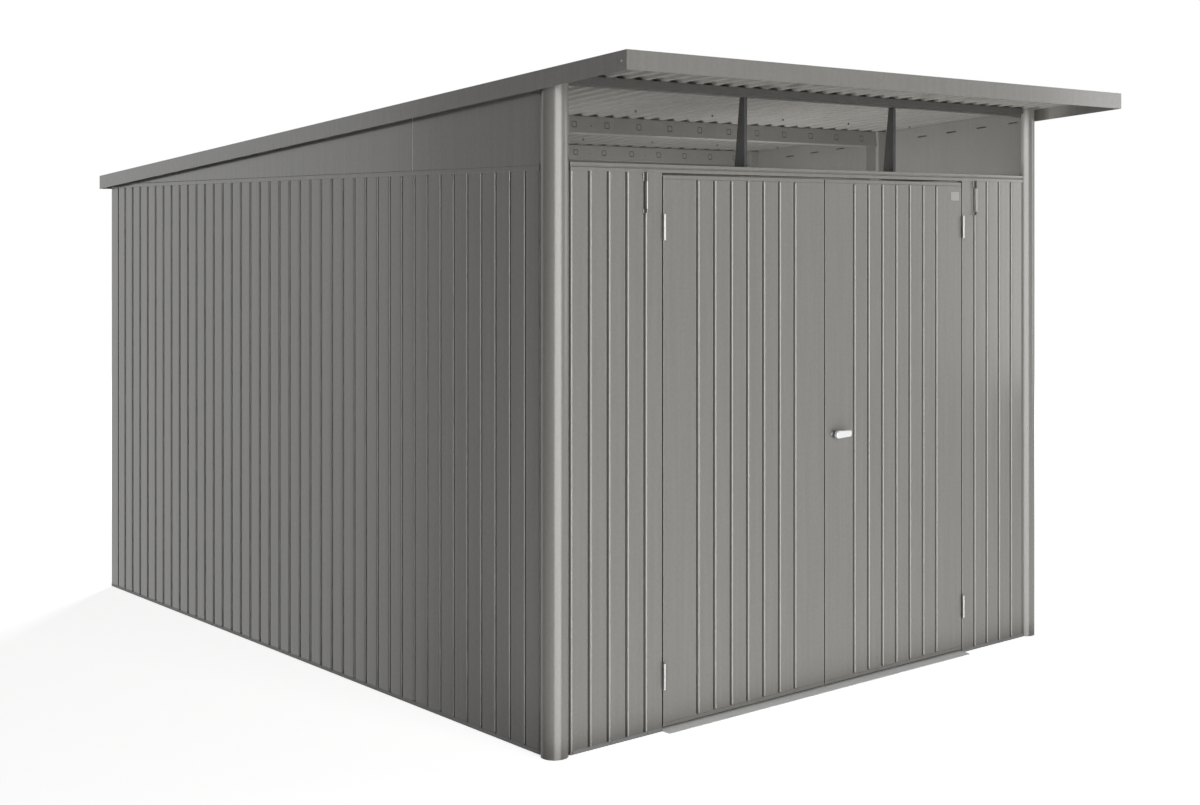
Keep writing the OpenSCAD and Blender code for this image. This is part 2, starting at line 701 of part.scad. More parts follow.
base_rail_left();
base_rail_right();
base_rail_back();
base_rail_front();
threshold_plate_left();
threshold_plate_right();
front_left_post();
front_right_post();
back_left_post();
back_right_post();
left_wall_panels();
right_wall_panels();
back_wall_panels();
front_left_panel();
front_right_panel();
left_wall_rail();
right_wall_rail();
back_wall_rail();
front_lintel();
left_gable_front();
left_gable_rear();
right_gable_front();
right_gable_rear();
window_pane();
window_brackets();
front_header();
roof_sheets();
front_roof_beam();
middle_roof_beam();
rear_roof_beam();
beam_columns();
beam_gussets();
fascia_front();
fascia_back();
fascia_left();
fascia_right();
left_door_leaf();
left_door_rails();
right_door_leaf();
right_door_rails();
left_hinge_frames();
left_hinge_knuckles();
right_hinge_frames();
right_hinge_knuckles();
handle_base();
door_handle();
door_stays();
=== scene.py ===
"""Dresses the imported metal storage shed: rounded sheet folds, small fittings, finishes and the studio.

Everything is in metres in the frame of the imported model: the doors face -Y and Z points up.
"""

from __future__ import annotations

import logging
import math
from dataclasses import dataclass
from enum import Enum
from typing import Callable, Sequence, Union

import bmesh
import bpy
from mathutils import Matrix, Vector


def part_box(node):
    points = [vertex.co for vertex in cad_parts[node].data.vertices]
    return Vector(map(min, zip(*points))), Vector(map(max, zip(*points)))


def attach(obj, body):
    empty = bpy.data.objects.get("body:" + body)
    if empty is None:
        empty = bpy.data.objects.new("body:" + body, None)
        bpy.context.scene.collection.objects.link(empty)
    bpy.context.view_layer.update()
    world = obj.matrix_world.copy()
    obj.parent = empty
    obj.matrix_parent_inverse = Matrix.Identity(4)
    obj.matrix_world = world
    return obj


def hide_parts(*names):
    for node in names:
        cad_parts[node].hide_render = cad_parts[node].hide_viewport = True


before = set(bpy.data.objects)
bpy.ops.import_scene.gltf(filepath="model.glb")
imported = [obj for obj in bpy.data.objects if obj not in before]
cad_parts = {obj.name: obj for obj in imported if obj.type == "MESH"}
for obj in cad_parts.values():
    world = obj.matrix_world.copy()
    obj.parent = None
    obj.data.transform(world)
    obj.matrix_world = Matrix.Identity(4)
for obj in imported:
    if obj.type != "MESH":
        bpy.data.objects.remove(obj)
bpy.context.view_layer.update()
LOG = logging.getLogger("shed")

Pair = tuple[float, float]
Key = Union[int, str]
Place = Callable[[float, float, float], Vector]

# Noise values between which a finish goes from its darker to its lighter colour, and over its roughness
COLOUR_SPAN = (0.35, 0.65)
ROUGH_SPAN = (0.3, 0.7)
# Strength of the bump of every finish, and roughness of a clear coat
BUMP_STRENGTH = 0.6
COAT_ROUGHNESS = 0.12
# Angles in degrees from which an edge is left sharp, and from which it is rounded
SHARP_ANGLE = 35.0
BEVEL_ANGLE = 40.0
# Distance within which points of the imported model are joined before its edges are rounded
WELD_GAP = 1e-5
# Distance within which points of a new piece are joined, and size of what is too small to keep
SAME_POINT = 1e-6
TINY = 1e-7


class Slot(Enum):
    """The record's material slots."""

    WALL = "wall_paint"
    ROOF = "roof_paint"
    BRACKET = "bracket_paint"
    ALUMINIUM = "bare_aluminium"
    HINGE = "hinge_steel"
    CHROME = "handle_chrome"
    NECK = "handle_neck"
    WINDOW = "window_clear"


class Body(Enum):
    """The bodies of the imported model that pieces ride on."""

    SHED = "shed"
    LEFT_DOOR = "left_door"
    RIGHT_DOOR = "right_door"
    HANDLE = "handle"


class Side(Enum):
    """Left or right half of the shed, with the sign of its X values."""

    LEFT = -1
    RIGHT = 1

    @property
    def word(self) -> str:
        """The side's name as the nodes use it."""
        return self.name.lower()


def linear(colour: str) -> tuple[float, float, float, float]:
    """Turns an sRGB hex colour into linear values.

    Args:
        colour: A colour such as "#8b8985".

    Returns:
        Red, green, blue and an alpha of 1.
    """
    parts = [int(colour[i : i + 2], 16) / 255 for i in (1, 3, 5)]
    red, green, blue = [p / 12.92 if p <= 0.04045 else ((p + 0.055) / 1.055) ** 2.4 for p in parts]
    return red, green, blue, 1.0


def add_node(
    tree: bpy.types.NodeTree,
    kind: str,
    settings: dict[Key, object] | None = None,
    links: dict[Key, bpy.types.NodeSocket] | None = None,
) -> bpy.types.Node:
    """Adds one node with its settings and links.

    Args:
        tree: The node tree to add to.
        kind: The node's type name.
        settings: Values by input name, input number or attribute name.
        links: Source sockets by input name or number.

    Returns:
        The new node.
    """
    node = tree.nodes.new(kind)
    for key, value in (settings or {}).items():
        if isinstance(key, int) or key in node.inputs:
            node.inputs[key].default_value = value
        else:
            setattr(node, key, value)
    for key, socket in (links or {}).items():
        tree.links.new(socket, node.inputs[key])
    return node


@dataclass(frozen=True)
class Finish:
    """One surface finish, with a mottle, a grain and a fine bump.

    Args:
        name: Name of the material.
        slot: The record's slot.
        dark: Darker colour of the mottle.
        light: Lighter colour of the mottle.
        metallic: Metal share of the surface.
        rough: Lowest and highest roughness.
        mottle: Size of the mottle in metres.
        grain: Size of the grain along X, Y and Z in metres.
        bump: Height of the bump in metres.
        coat: Weight of a clear coat.
        alpha: Lowest and highest opacity.
    """

    name: str
    slot: Slot
    dark: str
    light: str
    metallic: float
    rough: Pair
    mottle: float
    grain: tuple[float, float, float]
    bump: float
    coat: float = 0.0
    alpha: Pair = (1.0, 1.0)

    def material(self) -> bpy.types.Material:
        """Returns the finish as a material, made at its first use."""
        known = bpy.data.materials.get(self.name)
        if known is not None:
            return known
        made = bpy.data.materials.new(self.name)
        made.use_nodes = True
        tree = made.node_tree
        tree.nodes.clear()
        at = add_node(tree, "ShaderNodeTexCoord").outputs["Object"]
        spots = add_node(
            tree, "ShaderNodeTexNoise", {"Scale": 1 / self.mottle, "Detail": 3.0}, {"Vector": at}
        )
        scale = [1 / size for size in self.grain]
        stretched = add_node(tree, "ShaderNodeMapping", {"Scale": scale}, {"Vector": at})
        streaks = add_node(
            tree, "ShaderNodeTexNoise", {"Scale": 1.0, "Detail": 2.0}, {"Vector": stretched.outputs[0]}
        )
        half = add_node(tree, "ShaderNodeMath", {"operation": "MULTIPLY", 1: 0.5}, {0: streaks.outputs[0]})
        both = add_node(
            tree,
            "ShaderNodeMath",
            {"operation": "MULTIPLY_ADD", 1: 0.5},
            {0: spots.outputs[0], 2: half.outputs[0]},
        )
        colour = add_node(tree, "ShaderNodeValToRGB", None, {0: both.outputs[0]})
        low, high = colour.color_ramp.elements
        low.position, high.position = COLOUR_SPAN
        low.color, high.color = linear(self.dark), linear(self.light)
        rough = add_node(
            tree,
            "ShaderNodeMapRange",
            {
                "From Min": ROUGH_SPAN[0],
                "From Max": ROUGH_SPAN[1],
                "To Min": self.rough[0],
                "To Max": self.rough[1],
            },
            {"Value": both.outputs[0]},
        )
        relief = add_node(
            tree,
            "ShaderNodeBump",
            {"Strength": BUMP_STRENGTH, "Distance": self.bump},
            {"Height": streaks.outputs[0]},
        )
        shader = add_node(
            tree,
            "ShaderNodeBsdfPrincipled",
            {"Metallic": self.metallic, "Coat Weight": self.coat, "Coat Roughness": COAT_ROUGHNESS},
            {
                "Base Color": colour.outputs[0],
                "Roughness": rough.outputs[0],
                "Normal": relief.outputs[0],
            },
        )
        if self.alpha[0] < 1:
            haze = add_node(
                tree,
                "ShaderNodeMapRange",
                {
                    "From Min": COLOUR_SPAN[0],
                    "From Max": COLOUR_SPAN[1],
                    "To Min": self.alpha[0],
                    "To Max": self.alpha[1],
                },
                {"Value": spots.outputs[0]},
            )
            tree.links.new(haze.outputs[0], shader.inputs["Alpha"])
        add_node(tree, "ShaderNodeOutputMaterial", None, {0: shader.outputs[0]})
        return made


# Coil-coated galvanised steel: a warm grey metallic paint, rolled on flat before the sheet is folded. It
# is even and satin, with a faint cloud from the flakes and barely seen lines along the coil
PAINTED_SHEET = Finish(
    "coil_coated_steel", Slot.WALL, "#7e7c78", "#84827d",
    metallic=0.0, rough=(0.2, 0.25), mottle=0.012, grain=(0.02, 0.02, 0.6), bump=0.00004, coat=0.4,
)
# The same paint on the roof's sheets and beams, but rougher: their folds show by shade and not by gloss
PAINTED_ROOF = Finish(
    "coil_coated_roof_steel", Slot.ROOF, "#7e7c78", "#84827d",
    metallic=0.0, rough=(0.5, 0.56), mottle=0.012, grain=(0.02, 0.6, 0.02), bump=0.00004,
)
# Powder-coated aluminium extrusion: the posts are smoother than the sheets, so they show streaks of light
PAINTED_POST = Finish(
    "powder_coated_aluminium", Slot.WALL, "#7e7c78", "#84827d",
    metallic=0.0, rough=(0.2, 0.24), mottle=0.01, grain=(0.015, 0.015, 0.8), bump=0.00003,
)
# Painted shade: a near black, matt finish on strips set in the punched squares' slots and in the gaps round
# the leaves. It stands for the shade in those gaps, so that they read as thin dark lines
SHADE_BLACK = Finish(
    "black_sealing_strip", Slot.BRACKET, "#121212", "#161616",
    metallic=0.0, rough=(0.8, 0.9), mottle=0.01, grain=(0.01, 0.01, 0.01), bump=0.00002,
)
# Matt stoved enamel on the header and the screw tips: dark grey, almost without gloss
BRACKET_ENAMEL = Finish(
    "stoved_enamel", Slot.BRACKET, "#454441", "#4d4c49",
    metallic=0.0, rough=(0.55, 0.65), mottle=0.01, grain=(0.01, 0.01, 0.05), bump=0.00003,
)
# Mill-finish aluminium: pale and softly bright, with fine lines from the extrusion along its length. Along
# the gables' joints it is a painted highlight, standing for the light at the seams
BARE_ALUMINIUM_AND_HIGHLIGHT = Finish(
    "mill_finish_aluminium", Slot.ALUMINIUM, "#f3f4f2", "#f8f9f7",
    metallic=0.05, rough=(0.38, 0.5), mottle=0.02, grain=(0.3, 0.3, 0.003), bump=0.00005,
)
# Black enamel on the window brackets: darker than the header. Behind the gables' slots it is painted shade,
# standing for the shade inside the walls
BLACK_ENAMEL_AND_SHADE = Finish(
    "black_enamel_and_painted_shade", Slot.BRACKET, "#2a2a29", "#2f2f2e",
    metallic=0.0, rough=(0.6, 0.7), mottle=0.01, grain=(0.01, 0.01, 0.05), bump=0.00003,
)
# Anodised aluminium on the bare plate: an even, pale satin grey
ANODISED = Finish(
    "anodised_aluminium", Slot.ALUMINIUM, "#9c9c9a", "#a4a4a2",
    metallic=0.2, rough=(0.34, 0.4), mottle=0.006, grain=(0.02, 0.02, 0.002), bump=0.00002,
)
# Galvanised base rails: a dull mid grey beside the bright thresholds
GALVANISED = Finish(
    "galvanised_rail_steel", Slot.ALUMINIUM, "#7f807e", "#8b8c8a",
    metallic=0.2, rough=(0.42, 0.52), mottle=0.02, grain=(0.3, 0.3, 0.003), bump=0.00005,
)
# Zinc-plated steel: bright and a little cloudy
ZINC_STEEL = Finish(
    "zinc_plated_steel", Slot.HINGE, "#8f908e", "#9e9f9d",
    metallic=1.0, rough=(0.36, 0.46), mottle=0.006, grain=(0.003, 0.003, 0.02), bump=0.00004,
)
# Dull galvanised steel on the stays' clips: darker and matt, with a coarser bloom
GREY_ZINC = Finish(
    "galvanised_steel", Slot.HINGE, "#6b6c6a", "#7c7d7a",
    metallic=1.0, rough=(0.42, 0.55), mottle=0.004, grain=(0.004, 0.004, 0.004), bump=0.00005,
)
# Satin chrome plating: nearly white, with a soft sheen over the faint waves of a casting
SATIN_CHROME = Finish(
    "satin_chrome", Slot.CHROME, "#f0f0f0", "#f6f6f6",
    metallic=0.2, rough=(0.2, 0.26), mottle=0.01, grain=(0.008, 0.008, 0.008), bump=0.00003,
)
# Brushed nickel on the handle's neck: a mid grey with a soft sheen
NICKEL = Finish(
    "brushed_nickel", Slot.NECK, "#6e6e6d", "#7a7a79",
    metallic=0.6, rough=(0.3, 0.36), mottle=0.01, grain=(0.008, 0.008, 0.008), bump=0.00003,
)
# Extruded clear acrylic: the pane is almost unseen, with a trace of haze and a hard gloss
CLEAR_ACRYLIC = Finish(
    "clear_acrylic", Slot.WINDOW, "#e8eeee", "#f2f6f6",
    metallic=0.0, rough=(0.02, 0.05), mottle=0.25, grain=(0.4, 0.4, 0.4), bump=0.00001, alpha=(0.008, 0.014),
)


def rounded(points: Sequence[Pair], radii: Sequence[float], steps: int = 7) -> list[tuple[Vector, Vector]]:
    """Rounds the corners of an open line.

    Args:
        points: The line's corners.
        radii: Radius of each bend between the two ends.
        steps: Number of straight parts in a bend.

    Returns:
        Points along the line, each with the unit vector to its left.
    """
    line = [Vector(p) for p in points]
    first, last = (line[1] - line[0]).normalized(), (line[-1] - line[-2]).normalized()
    found = [(line[0], Vector((-first.y, first.x)))]
    for before, corner, after, radius in zip(line, line[1:], line[2:], radii):
        come, go = (corner - before).normalized(), (after - corner).normalized()
        turn = math.atan2(come.x * go.y - come.y * go.x, come.dot(go))
        reach = radius * math.tan(abs(turn) / 2)
        bend = math.copysign(radius, turn)
        left = Vector((-come.y, come.x))
        centre = corner - come * reach + left * bend
        for i in range(steps + 1):
            angle = turn * i / steps
            cosine, sine = math.cos(angle), math.sin(angle)
            normal = Vector((left.x * cosine - left.y * sine, left.x * sine + left.y * cosine))
            found.append((centre - normal * bend, normal))
    found.append((line[-1], Vector((-last.y, last.x))))
    return found


def fold(centre: float, mouth: float, floor: float, depth: float) -> list[Pair]:
    """Returns the four corners of one groove or rib across a sheet.

    Args:
        centre: Place of its middle across the sheet.
        mouth: Its width at the sheet's face.
        floor: Its width at the other end.
        depth: Its depth or height.

    Returns:
        The corners in their order across the sheet.
    """
    return [
        (centre - mouth / 2, 0.0),
        (centre - floor / 2, depth),
        (centre + floor / 2, depth),
        (centre + mouth / 2, 0.0),
    ]


class Draft:
    """Gathers the points and faces of one piece before it becomes a mesh."""

    def __init__(self) -> None:
        """Starts with no points."""
        self.points: list[Vector] = []
        self.faces: list[tuple[int, ...]] = []

    def add_rows(self, rows: Sequence[Sequence[Vector]], ring: bool = False) -> int:
        """Adds a skin over rows of points.

        Args:
            rows: Rows with equal numbers of points.
            ring: Whether each row closes on itself.

        Returns:
            The number of the first point.
        """
        start, count = len(self.points), len(rows[0])
        for row in rows:
            self.points.extend(row)
        for j in range(len(rows) - 1):
            for i in range(count if ring else count - 1):
                a, b = start + j * count + i, start + j * count + (i + 1) % count
                self.faces.append((a, b, b + count, a + count))
        return start

    def add_sheet(
        self, points: Sequence[Pair], radii: Sequence[float], thickness: float, place: Place, ends: Pair
    ) -> None:
        """Adds a folded sheet, drawn out along a straight line.

        Args:
            points: Corners of the sheet's one face in its cross-section.
            radii: Radius of each bend on that face.
            thickness: Thickness to the left of the line.
            place: Puts cross-section values and a length into the frame.
            ends: Lengths at the two ends.
        """
        line = rounded(points, radii)
        near = [p for p, _ in line]
        far = [p + n * thickness for p, n in line]
        loop = near + far[::-1]
        start = self.add_rows([[place(p.x, p.y, end) for p in loop] for end in ends], ring=True)
        count, size = len(near), len(loop)
        for base in (start, start + size):
            for i in range(count - 1):
                self.faces.append((base + i, base + i + 1, base + size - 2 - i, base + size - 1 - i))

    def add_prism(self, outline: Sequence[Pair], place: Place, ends: Pair) -> None:
        """Adds a solid with one outline, drawn out along a straight line.

        Args:
            outline: Corners of the closed outline.
            place: Puts outline values and a length into the frame.
            ends: Lengths at the two ends.
        """
        start = self.add_rows([[place(u, v, end) for u, v in outline] for end in ends], ring=True)
        count = len(outline)
        self.faces.append(tuple(range(start, start + count)))
        self.faces.append(tuple(range(start + count, start + 2 * count)))

    def add_box(self, low: Sequence[float], high: Sequence[float]) -> None:
        """Adds a block between two corners.

        Args:
            low: The lowest corner.
            high: The highest corner.
        """
        outline = [(low[0], low[1]), (high[0], low[1]), (high[0], high[1]), (low[0], high[1])]
        self.add_prism(outline, lambda u, v, h: Vector((u, v, h)), (low[2], high[2]))

    def add_turned(self, profile: Sequence[Pair], where: Matrix, parts: int = 24) -> None:
        """Adds a turned solid.

        Args:
            profile: Radius and height of each ring; the first and last radius may be 0.
            where: Matrix from the turning axis Z to the frame.
            parts: Number of parts round the axis.
        """
        turns = [2 * math.pi * i / parts for i in range(parts)]
        rows = [
            [where @ Vector((max(r, TINY) * math.cos(t), max(r, TINY) * math.sin(t), h)) for t in turns]
            for r, h in profile
        ]
        start = self.add_rows(rows, ring=True)
        self.faces.append(tuple(range(start, start + parts)))
        last = start + (len(rows) - 1) * parts
        self.faces.append(tuple(range(last, last + parts)))

    def add_node_mesh(self, node: str) -> None:
        """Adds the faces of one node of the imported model.

        Args:
            node: Name of the node.
        """
        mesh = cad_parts[node].data
        start = len(self.points)
        self.points.extend(v.co.copy() for v in mesh.vertices)
        self.faces.extend(tuple(start + v for v in p.vertices) for p in mesh.polygons)

    def loose(self, name: str) -> bpy.types.Object:
        """Makes an object of the points and faces, with its normals outwards.

        Args:
            name: Name of the object.

        Returns:
            The object, in the scene and riding on nothing yet.
        """
        mesh = bpy.data.meshes.new(name)
        mesh.from_pydata(self.points, [], self.faces)
        work = bmesh.new()
        work.from_mesh(mesh)
        bmesh.ops.remove_doubles(work, verts=work.verts, dist=SAME_POINT)
        bmesh.ops.dissolve_degenerate(work, edges=work.edges, dist=TINY)
        bmesh.ops.recalc_face_normals(work, faces=work.faces)
        work.to_mesh(mesh)
        work.free()
        made = bpy.data.objects.new(name, mesh)
        bpy.context.scene.collection.objects.link(made)
        return made

    def piece(
        self,
        name: str,
        body: Body,
        finish: Finish,
        replaces: Sequence[str] = (),
        cutter: Draft | None = None,
        edge: float = 0.0,
    ) -> bpy.types.Object:
        """Makes a finished piece that rides on a body.

        Args:
            name: Name of the piece.
            body: The body that it rides on.
            finish: Its finish.
            replaces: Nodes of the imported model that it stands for.
            cutter: What is cut away from it.
            edge: Radius of its edges, or 0 for edges as drawn.

        Returns:
            The piece.
        """
        made = self.loose(name)
        if cutter is not None:
            cut(made, cutter)
        made.data.materials.clear()
        made.data.materials.append(finish.material())
        smooth(made)
        if edge:
            soften(made, edge)
        made.modifiers.new("even_shading", "WEIGHTED_NORMAL").keep_sharp = True
        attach(made, body.value)
        if replaces:
            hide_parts(*replaces)
        LOG.info("%s rides on %s", name, body.value)
        return made


def cut(made: bpy.types.Object, cutter: Draft) -> None:
    """Cuts a draft's solids out of an object's mesh.

    Args:
        made: The object.
        cutter: What is cut away.
    """
    tool = cutter.loose(made.name + "_cutter")
    step = made.modifiers.new("cut", "BOOLEAN")
    step.operation, step.solver, step.object = "DIFFERENCE", "EXACT", tool
    apply_modifiers(made)
    bpy.data.objects.remove(tool)


def apply_modifiers(made: bpy.types.Object) -> None:
    """Makes the shape that an object's modifiers give its own mesh.

    Args:
        made: The object.
    """
    graph = bpy.context.evaluated_depsgraph_get()
    mesh = bpy.data.meshes.new_from_object(made.evaluated_get(graph))
    made.modifiers.clear()
    made.data = mesh


def smooth(made: bpy.types.Object) -> None:
    """Shades an object smoothly between its sharp edges.

    Args:
        made: The object.
    """
    made.data.polygons.foreach_set("use_smooth", [True] * len(made.data.polygons))
    made.data.set_sharp_from_angle(angle=math.radians(SHARP_ANGLE))


def soften(made: bpy.types.Object, edge: float, parts: int = 3) -> None:
    """Rounds the edges of an object, as a folded or moulded edge is.

    Args:
        made: The object.
        edge: Radius of the edges.
        parts: Number of straight parts round an edge.
    """
    bevel = made.modifiers.new("rounded_edges", "BEVEL")
    bevel.width, bevel.segments, bevel.limit_method = edge, parts, "ANGLE"
    bevel.angle_limit = math.radians(BEVEL_ANGLE)
    bevel.harden_normals = False


def dress(node: str, finish: Finish, edge: float = 0.0) -> None:
    """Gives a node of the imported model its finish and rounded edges.

    Args:
        node: Name of the node.
        finish: Its finish.
        edge: Radius of its edges, or 0 for edges as modelled.
    """
    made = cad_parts[node]
    made.data.materials.clear()
    made.data.materials.append(finish.material())
    if edge:
        weld = made.modifiers.new("joined_faces", "WELD")
        weld.merge_threshold = WELD_GAP
        soften(made, edge, 2)
    made.modifiers.new("even_shading", "WEIGHTED_NORMAL").keep_sharp = True
    LOG.info("%s dressed", node)


def facing(where: Sequence[float], out: Sequence[float]) -> Matrix:
    """Returns a matrix that puts local Z along a direction at a point.

    Args:
        where: The point.
        out: The direction.

    Returns:
        The matrix.
    """
    return Matrix.Translation(where) @ Vector(out).to_track_quat("Z", "Y").to_matrix().to_4x4()


def add_screw(draft: Draft, where: Sequence[float], out: Sequence[float], head: float = 0.008) -> None:
    """Adds a pan-head screw with a round drive recess.

    Args:
        draft: The draft to add to.
        where: Point on the surface below the head's middle.
        out: Direction that the head faces.
        head: Diameter of the head.
    """
    r = head / 2
    profile = [
        (0, -0.0005), (r, -0.0005), (r, 0.18 * r), (0.92 * r, 0.42 * r), (0.7 * r, 0.62 * r),
        (0.45 * r, 0.7 * r), (0.36 * r, 0.7 * r), (0.34 * r, 0.3 * r), (0, 0.22 * r),
    ]
    draft.add_turned(profile, facing(where, out), 16)


def add_drill(
    draft: Draft, where: Sequence[float], out: Sequence[float], radius: float, ends: Pair, parts: int = 12
) -> None:
    """Adds a drill to a draft that is cut away from a piece.

    Args:
        draft: The draft to add to.
        where: Point that the drill passes through.
        out: Direction along the drill.
        radius: Radius of the hole.
        ends: Distances from the point at which the drill starts and ends.
        parts: Number of parts round the hole.
    """
    start, end = ends
    draft.add_turned([(0, start), (radius, start), (radius, end), (0, end)], facing(where, out), parts)


@dataclass
class Walls:
    """Grooved panels, their rails, the gables, the posts and the base.

    Args:
        panel: Width of one panel.
        side_count: Number of panels along a side wall.
        back_count: Number of panels along the back wall.
        pitch: Distance between grooves.
        mouth: Width of a groove at the face, before its lips are rounded.
        floor: Width of a groove's floor.
        depth: Depth of a groove.
        edge: Depth of the turned edges.
        sheet: Thickness of the sheet.
        lip: Radius of a groove's lips.
        foot: Radius of the folds at its floor.
        half_foot: Radius of those folds where two panels share a groove.
        edge_bend: Radius of the fold at a plain turned edge.
        seam: Gap between two panels.
        hole_step: Distance between the holes in the base rail.
        hole: Radius of those holes.
        hole_z: Height of the holes.
        hole_first: Distance of the first hole from its end of a rail.
        hole_last: Least distance of the last hole from the other end.
        hole_ends: Where the drill starts and ends, measured out of the rail's face.
        doorway: Half the width before the doors that has no holes.
        rail_edge: Radius of the edges of the rails on the side walls.
        back_rail_edge: Radius of those of the rail on the back wall.
        gable_edge: Radius of the gable sheets' edges.
        threshold_edge: Radius of the thresholds' edges.
    """

    panel: float = 0.4
    side_count: int = 8
    back_count: int = 6
    pitch: float = 0.08
    mouth: float = 0.008
    floor: float = 0.008
    depth: float = 0.014
    edge: float = 0.024
    sheet: float = 0.001
    lip: float = 0.006
    foot: float = 0.001
    half_foot: float = 0.0004
    edge_bend: float = 0.002
    seam: float = 0.0006
    hole_step: float = 0.16
    hole: float = 0.0022
    hole_z: float = 0.006
    hole_first: float = 0.0094
    hole_last: float = 0.02
    hole_ends: Pair = (-0.008, 0.003)
    doorway: float = 0.82
    rail_edge: float = 0.0018
    back_rail_edge: float = 0.0012
    gable_edge: float = 0.0009
    threshold_edge: float = 0.0006

    def outline(self, width: float, plain_end: bool) -> tuple[list[Pair], list[float]]:
        """Returns the corners of one panel's outer face.

        Args:
            width: Width of the panel.
            plain_end: Whether it ends in a plain turned edge and not in half a groove.

        Returns:
            Corners across the panel, with depth as the second value, and the radius of each bend.
        """
        gap = self.seam / 2
        last = int((width - self.mouth) / self.pitch) if plain_end else round(width / self.pitch) - 1
        turned = [(gap, self.edge), (gap, self.depth), (self.floor / 2, self.depth), (self.mouth / 2, 0.0)]
        corners, radii = list(turned), [self.half_foot, self.half_foot, self.lip]
        for i in range(1, last + 1):
            corners += fold(i * self.pitch, self.mouth, self.floor, self.depth)
            radii += [self.lip, self.foot, self.foot, self.lip]
        if plain_end:
            return corners + [(width, 0.0), (width, self.edge)], radii + [self.edge_bend]
        corners += [(width - u, v) for u, v in reversed(turned)]
        return corners, radii + [self.lip, self.half_foot, self.half_foot]

    def build_wall(self, node: str, count: int, width: float, place: Place, plain_end: bool = False) -> None:
        """Builds the panels of one wall.

        Args:
            node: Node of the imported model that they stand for.
            count: Number of panels.
            width: Width of one panel.
            place: Puts distance along the wall, depth and height into the frame.
            plain_end: Whether a panel ends in a plain turned edge.
        """
        low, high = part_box(node)
        draft = Draft()
        corners, radii = self.outline(width, plain_end)
        for i in range(count):
            shifted: Place = lambda u, v, h, first=i * width: place(first + u, v, h)
            draft.add_sheet(corners, radii, self.sheet, shifted, (low.z, high.z))
        draft.piece(node.replace("panel", "sheet"), Body.SHED, PAINTED_SHEET, [node])

    def build_panels(self) -> None:
        """Builds the panels of all four walls."""
        gap = self.seam / 2
        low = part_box("left_wall_panels")[0]
        first, outer = low.y - gap, low.x
        for side in Side:
            place: Place = lambda u, v, h, s=-side.value: Vector((s * (outer + v), first + u, h))
            self.build_wall(f"{side.word}_wall_panels", self.side_count, self.panel, place)
        low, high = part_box("back_wall_panels")
        start, back = low.x - gap, high.y
        place = lambda u, v, h: Vector((start + u, back - v, h))
        self.build_wall("back_wall_panels", self.back_count, self.panel, place)
        low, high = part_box("front_left_panel")
        begin, face = low.x - gap, low.y
        for side in Side:
            place = lambda u, v, h, s=-side.value: Vector((s * (begin + u), face + v, h))
            self.build_wall(f"front_{side.word}_panel", 1, high.x - begin, place, plain_end=True)

    def build_base(self) -> None:
        """Builds the base rails with a small hole at every second groove."""
        for name in ("left", "right", "back", "front"):
            node = f"base_rail_{name}"
            low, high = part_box(node)
            face, out = self.rail_face(name, low, high)
            draft, holes = Draft(), Draft()
            draft.add_node_mesh(node)
            along = 1 if name in ("left", "right") else 0
            spot = low[along] + self.hole_first
            while spot < high[along] - self.hole_last:
                if name != "front" or abs(spot) >= self.doorway:
                    where = (face, spot, self.hole_z) if along else (spot, face, self.hole_z)
                    add_drill(holes, where, out, self.hole, self.hole_ends)
                spot += self.hole_step
            draft.piece(f"{node}_drilled", Body.SHED, GALVANISED, [node], holes)

    def rail_face(self, name: str, low: Vector, high: Vector) -> tuple[float, Vector]:
        """Returns the place and direction of a base rail's outer face.

        Args:
            name: Which rail it is.
            low: Lowest corner of the rail.
            high: Highest corner of the rail.

        Returns:
            The face's place on its axis, with the direction out of it.
        """
        faces = {
            "left": (low.x, Vector((-1, 0, 0))),
            "right": (high.x, Vector((1, 0, 0))),
            "back": (high.y, Vector((0, 1, 0))),
            "front": (low.y, Vector((0, -1, 0))),
        }
        return faces[name]

    def dress_nodes(self) -> None:
        """Gives the posts, rails, gables and thresholds their finishes."""
        for node in ("front_left_post", "front_right_post"):
            dress(node, PAINTED_POST)
        for node in ("back_left_post", "back_right_post"):
            dress(node, PAINTED_SHEET)
        for side in Side:
            dress(f"{side.word}_wall_rail", PAINTED_SHEET, self.rail_edge)
            for end in ("front", "rear"):
                dress(f"{side.word}_gable_{end}", PAINTED_SHEET, self.gable_edge)
            dress(f"threshold_plate_{side.word}", BARE_ALUMINIUM_AND_HIGHLIGHT, self.threshold_edge)
        dress("back_wall_rail", PAINTED_SHEET, self.back_rail_edge)

    def build(self) -> None:
        """Builds and dresses the walls."""
        self.build_panels()
        self.build_base()
        self.dress_nodes()


@dataclass(frozen=True)
class Seals:
    """Sizes of the black strips of painted shade in the gaps round the door leaves.

    Args:
        sunk: How far a strip of painted shade is let into what carries it.
        tape: Thickness of the strips on the upright edges.
        side_strip_in: Distance of these strips behind the leaf's face.
        back: Distance of the wide strips from the leaf's back.
        lintel: Height of the strip under the lintel.
        lintel_in: Distance of that strip behind the leaf's face.
        strip_in: Distance of a leaf's narrow strips behind its face.
        foot: Height of the strip under a leaf.
        foot_in: Distance of that strip's back behind the leaf's face.
        meeting: Width of the strip at the meeting edge.
        meeting_in: Distance of that strip's back behind the leaf's face.
        clear: Distance of a leaf's strips from its corners.
    """

    sunk: float = 0.0002
    tape: float = 0.0005
    side_strip_in: float = 0.0025
    back: float = 0.002
    lintel: float = 0.0008
    lintel_in: float = 0.002
    strip_in: float = 0.003
    foot: float = 0.0025
    foot_in: float = 0.008
    meeting: float = 0.0022
    meeting_in: float = 0.010
    clear: float = 0.004


GAP_SHADE_SIZES = Seals()


